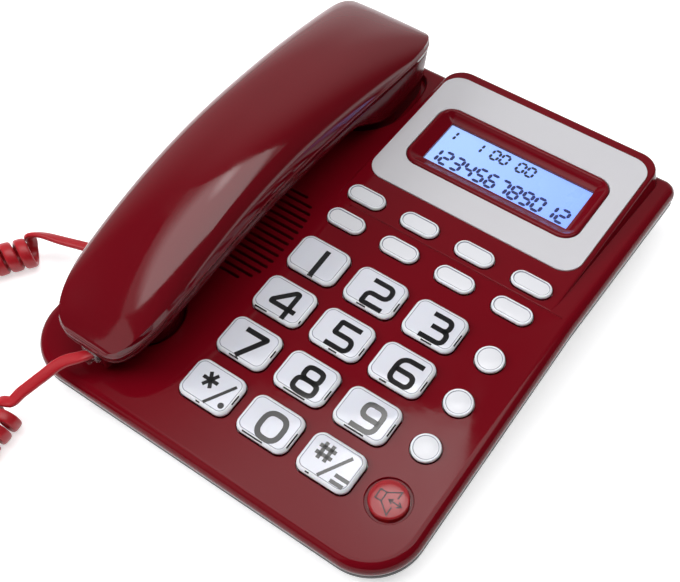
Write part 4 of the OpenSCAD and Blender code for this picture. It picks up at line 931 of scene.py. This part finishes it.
BUTTON_BANDS = (0, 0, 3) + 5 * (1,) + 2 * (2,)
OVAL_PROFILE = cap_profile(0.6, BUTTON_H, (0, 1.18), (0, 0.75), (0.08, 0.42), (0.3, 0.12), (0.62, 0), (0.85, 0.04),
                           (1.05, 0.28), (1.2, 0.34), (1.7, 0.26), (2.6, 0.2))
ROUND_PROFILE = cap_profile(1, BUTTON_H, (0, 1.18), (0, 0.75), (0.08, 0.45), (0.3, 0.18), (0.6, 0.08), (0.85, 0.14),
                            (1, 0.3), (1.15, 0.32), (1.8, 0.16), (2.6, 0.05), (3.8, 0))
BUTTONS = [(pill(OVAL_W, OVAL_D), OVAL_PROFILE, BUTTON_BANDS, place, (x, y))
           for place, y in ((on_block, UPPER_OVAL_Y), (on_deck, LOWER_OVAL_Y)) for x in OVAL_X]
BUTTONS += [(circle(ROUND_DIA / 2), ROUND_PROFILE, BUTTON_BANDS, on_deck, at) for at in ROUND_AT]
names = ["oval_button_%d" % i for i in range(1, 9)] + ["round_button_%d" % i for i in range(1, 4)]
for name, button in zip(names, BUTTONS):
    banded(*button).make("cap_" + name, [BUTTON_WHITE, RIM, GROOVE_SHADE, EDGE], name, (name,), "key_white", 40)

SPEAKER_PROFILE = cap_profile(1, BUTTON_H, (0, 0.9), (0.1, 0.55), (0.35, 0.3), (0.8, 0.16), (2, 0.05), (4, 0))
SPEAKER_MARK = (((-4.2, 1.6), (-1.7, 1.6), (-1.7, -2), (-4.2, -2)),  # the only closed line
                ((-1.7, 1.6), (2.7, 4.4), (2.7, 1.6)), ((-1.7, -2), (2.5, -5.2), (2.5, -2)),
                ((0.5, -0.2), (5, -0.2)), ((3.8, 0.9), (5.2, -0.2), (3.8, -1.3)),
                ((1.7, 0.7), (0.3, -0.2), (1.7, -1.1)))
s = Shape().stack(circle(SPEAKER_BTN / 2, 96), SPEAKER_PROFILE, on_deck, SPEAKER_BTN_AT)
for points in SPEAKER_MARK:
    stroke(s, 1, SPEAKER_BTN_AT, BUTTON_H - 0.4, BUTTON_H + 0.02, points, (), 0.5, points is SPEAKER_MARK[0])
s.make("cap_speaker", [DISC, MARK], "speaker_button", ("speaker_button",), "button_red", 30)

# ---- Display ----
plate = Shape().stack(
    rrect(FASCIA_X1 - FASCIA_X0, FASCIA_Y1 - FASCIA_Y0, FASCIA_R, 14),
    [(0.1, 0.02), (0, 0.1), (0, FASCIA_T - 0.22), (0.07, FASCIA_T - 0.06), (0.22, FASCIA_T)],
    on_block, ((FASCIA_X0 + FASCIA_X1) / 2, (FASCIA_Y0 + FASCIA_Y1) / 2))
plate_hole = Shape().stack(rrect(BEZEL_W + 0.5, BEZEL_D + 0.5, BEZEL_R + 0.25, 14),
                           [(0, -1), (0, FASCIA_T - 0.14), (-0.14, FASCIA_T), (-0.14, 3)], on_block, DISPLAY)
fascia = piece("silver_fascia", boolean(plate, [(CUT, plate_hole)]), [SILVER], "base", ("display_fascia",),
               "fascia_silver", 30)
plane_normals(fascia.data, ((on_block, FASCIA_T),))


def frame_ring(w, d, r, z, centre=(VIEW_X, VIEW_Y), seg=3):
    return on_block([(x + centre[0], y + centre[1], z) for x, y in rrect(w, d, r, seg)(0)])


def bezel_ring(k, z, r):
    """A ring between the bezel's edge (k = 0) and the window (k = 1)."""
    w, d, x, y = (a + (b - a) * k for a, b in zip((BEZEL_W, BEZEL_D) + DISPLAY, (VIEW_W, VIEW_D, VIEW_X, VIEW_Y)))
    return frame_ring(w, d, r, z, (x, y), 10)


TOP = FASCIA_T + 0.5
bezel = Shape().loft(
    [bezel_ring(0.28, -BEZEL_DROP, 4.6), bezel_ring(0.28, -0.02, 4.6), bezel_ring(0, 0, 7)]
    + [bezel_ring(k, TOP - d, r) for k, d, r in (
        (0, 0.9, 7), (0.015, 0.55, 6.9), (0.05, 0.22, 6.6), (0.1, 0.06, 6.2), (0.17, 0, 5.6), (0.24, 0.05, 5),
        (0.3, 0.22, 4.4), (0.36, 0.55, 3.8), (0.66, 1.9, 2))]
    + [bezel_ring(k, VIEW_TOP + z, r) for k, z, r in ((0.95, 0.12, 0.5), (0.985, 0.02, 0.35), (1, -0.1, 0.3))]
    + [bezel_ring(1, -BEZEL_DROP, 0.3)], ends="joined")
bezel.make("display_bezel", [RED_BASE], "base", ("lcd_bezel",), "base_red", 32)

Shape().loft([frame_ring(VIEW_W - gap, VIEW_D - gap, 0.3, z) for gap, z in (
    (0.2, -BEZEL_DROP + 0.55), (0.2, VIEW_TOP - 0.06), (0.35, VIEW_TOP))]).make(
        "display_lens", [LENS], "base", ("lcd_lens",), "lens_clear", 30)

SEGMENTS = {"a": ((0, 2), (1, 2)), "b": ((1, 2), (1, 1)), "c": ((1, 1), (1, 0)), "d": ((0, 0), (1, 0)),
            "e": ((0, 1), (0, 0)), "f": ((0, 2), (0, 1)), "g": ((0, 1), (1, 1))}
DIGITS = {"0": "abcdef", "1": "bc", "2": "abged", "3": "abgcd", "4": "fgbc", "5": "afgcd", "6": "afgecd",
          "7": "abc", "8": "abcdefg", "9": "abcdfg"}


def lit(s, digit, x, y, w, h, bar, mat):
    """A seven-segment digit whose corner is at x, y on the display."""
    for seg in DIGITS[digit]:
        a, b = (np.array([x + i * w + j * h / 2 * 0.06, y + j * h / 2]) for i, j in SEGMENTS[seg])
        d = unit(b - a)
        a, b, o = a + d * bar * 0.12, b - d * bar * 0.12, np.array([-d[1], d[0]]) * bar / 2
        k = d * bar / 2
        out = [a, a + k - o, b - k - o, b, b - k + o, a + k + o]
        s.loft([[(px, py, z) for px, py in out] for z in (-BEZEL_DROP + 0.02, -BEZEL_DROP + 0.1)], mat, on_block)


lcd = Shape().loft([frame_ring(VIEW_W + 4, VIEW_D + 3, 0.4, z) for z in (-BEZEL_DROP - 0.18, -BEZEL_DROP + 0.03)])
# The number, then the date and the clock.
for k, digit in enumerate("123456789012"):
    lit(lcd, digit, -6.7 + 5.42 * k, 41.4, 3.7, 6.9, 1.35, 1)
for digit, x in (("1", -5.8), ("1", 6.9), ("0", 14.9), ("0", 19.3), ("0", 27), ("0", 31.4)):
    lit(lcd, digit, x, 55.2, 3, 5.1, 1.12, 2)
lcd.make("display_picture", [LCD, LCD_INK, LCD_DARK], "base", slot="lcd_blue", angle=30)

# ---- Looks of the parts carried over as they are: material and width of the bevel ----
for name, mat, bevel in (
        ("rubber_feet", RUBBER, 0.5), ("base_screws", STEEL, 0.15), ("battery_door", CHARCOAL, 0.25),
        ("batteries", BATTERY, 0.5), ("battery_contacts", STEEL, 0.08), ("lcd_module", BLACK, 0.15),
        ("main_circuit_board", BOARD, 0.1), ("display_board", BOARD, 0.1), ("keypad_mat", RUBBER, 0.2),
        ("function_mat", RUBBER, 0.2), ("base_loudspeaker", BLACK, 0.3), ("base_microphone", STEEL, 0.2),
        ("hook_button", RED, 0.4), ("hook_spring", STEEL, 0.1), ("hook_switch", BLACK, 0.25),
        ("line_jack", BLACK, 0.15), ("handset_cord_jack", BLACK, 0.15), ("earpiece_receiver", BLACK, 0.3),
        ("handset_microphone", STEEL, 0.2), ("handset_screws", STEEL, 0.15), ("handset_jack", BLACK, 0.15),
        ("handset_weight", STEEL, 0.4)):
    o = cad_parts[name]
    o.data.materials.clear()
    o.data.materials.append(mat)
    mod = o.modifiers.new("edge", "BEVEL")
    mod.width, mod.segments, mod.limit_method, mod.angle_limit = bevel * MM, 2, "ANGLE", math.radians(50)
    mod.use_clamp_overlap = True


# ---- Stage, backdrop and lights ----
def stage_quad(name, corners, mat):
    m = bpy.data.meshes.new(name)
    m.from_pydata(corners, [], [[0, 1, 2, 3]])
    m.materials.append(mat)
    linked(name, m)


def floor_material():
    """White paper: it shows as white to the camera and in reflections, and keeps the object's shadow."""
    m = material("floor_paper", (238, 238, 240), rough=0.8, spread=0.01, grain=600, bump=0.02,
                 Specular_IOR_Level=0.1)
    tree = m.node_tree
    rays = node(tree, "LightPath", 0).node.outputs
    seen = reckon(tree, "MAXIMUM", rays["Is Camera Ray"], rays["Is Glossy Ray"])
    seen = reckon(tree, "MAXIMUM", seen, rays["Is Transmission Ray"])
    feed(tree, tree.nodes["Principled BSDF"],
         {"Emission Color": (1, 1, 1, 1), "Emission Strength": reckon(tree, "MULTIPLY", seen, FLOOR_GLOW)})
    return m


def panel_material(name, strength, middle=None, hot=None):
    """A lamp panel; with a middle it fades towards its ends, and it is brighter round its hot spot."""
    m = bpy.data.materials.new(name)
    m.use_nodes = True
    tree = m.node_tree
    tree.nodes.remove(tree.nodes["Principled BSDF"])
    if middle:
        where = node(tree, "TexCoord", "Object")
        from_middle, from_hot = (node(tree, "VectorMath", "Value", {0: where, 1: spot}, operation="DISTANCE")
                                 for spot in (middle, hot))
        strength = reckon(tree, "ADD", ranged(tree, from_middle, 0.72, 1.0, strength, 0.2 * strength, "SMOOTHSTEP"),
                          ranged(tree, from_hot, 0.02, 0.2, 0.9 * strength, 0, "SMOOTHSTEP"))
    light = node(tree, "Emission", "Emission", {"Color": (1, 0.995, 0.985, 1), "Strength": strength})
    feed(tree, tree.nodes["Material Output"], {"Surface": light})
    return m


FLOOR_GLOW = 0.55
stage_quad("floor", [(-1.8, -1.8, 0), (1.8, -1.8, 0), (1.8, 1.8, 0), (-1.8, 1.8, 0)], floor_material())
stage_quad("softbox_top", [(-0.70, -1.08, 1.2), (0.95, 0.05, 1.2), (0.95, 0.82, 1.2), (-0.68, 0.07, 1.2)],
           panel_material("softbox_top", 3.0, (0.3, -0.25, 1.2), (-0.19, 0.2, 1.2)))
stage_quad("softbox_front", [(-0.86, -1.48, 0.3), (-0.28, -1.75, 0.5), (-0.12, -1.42, 1.62), (-0.78, -1.22, 1.42)],
           panel_material("softbox_front", 0.75))

# The sky: dim, brighter towards the rear left, and white to the camera.
world = bpy.data.worlds.new("studio")
bpy.context.scene.world = world
world.use_nodes = True
sky = world.node_tree
REAR_LEFT = (-0.574, 0.819, 0)
facing = node(sky, "VectorMath", "Value", {0: node(sky, "TexCoord", "Generated"), 1: REAR_LEFT},
              operation="DOT_PRODUCT")
wall = reckon(sky, "ADD", ranged(sky, facing, 0.2, 0.75, 0, 0.45, "SMOOTHSTEP"),
              ranged(sky, facing, 0.88, 1.0, 0, 0.35, "SMOOTHSTEP"))
seen = node(sky, "LightPath", "Is Camera Ray")
feed(sky, sky.nodes["Background"],
     {"Color": (1, 1, 1, 1), "Strength": reckon(sky, "MAXIMUM", reckon(sky, "ADD", wall, 0.08), seen)})

lamp = bpy.data.lights.new("fill_front_left", "AREA")
lamp.shape, lamp.size, lamp.energy = "DISK", 0.8, 12
fill = linked("fill_front_left", lamp)
fill.location = (-1.1, -0.75, 0.8)
fill.rotation_euler = (-fill.location).to_track_quat("-Z", "Y").to_euler()
fill.visible_glossy = False

bpy.context.scene.view_settings.view_transform = "Standard"
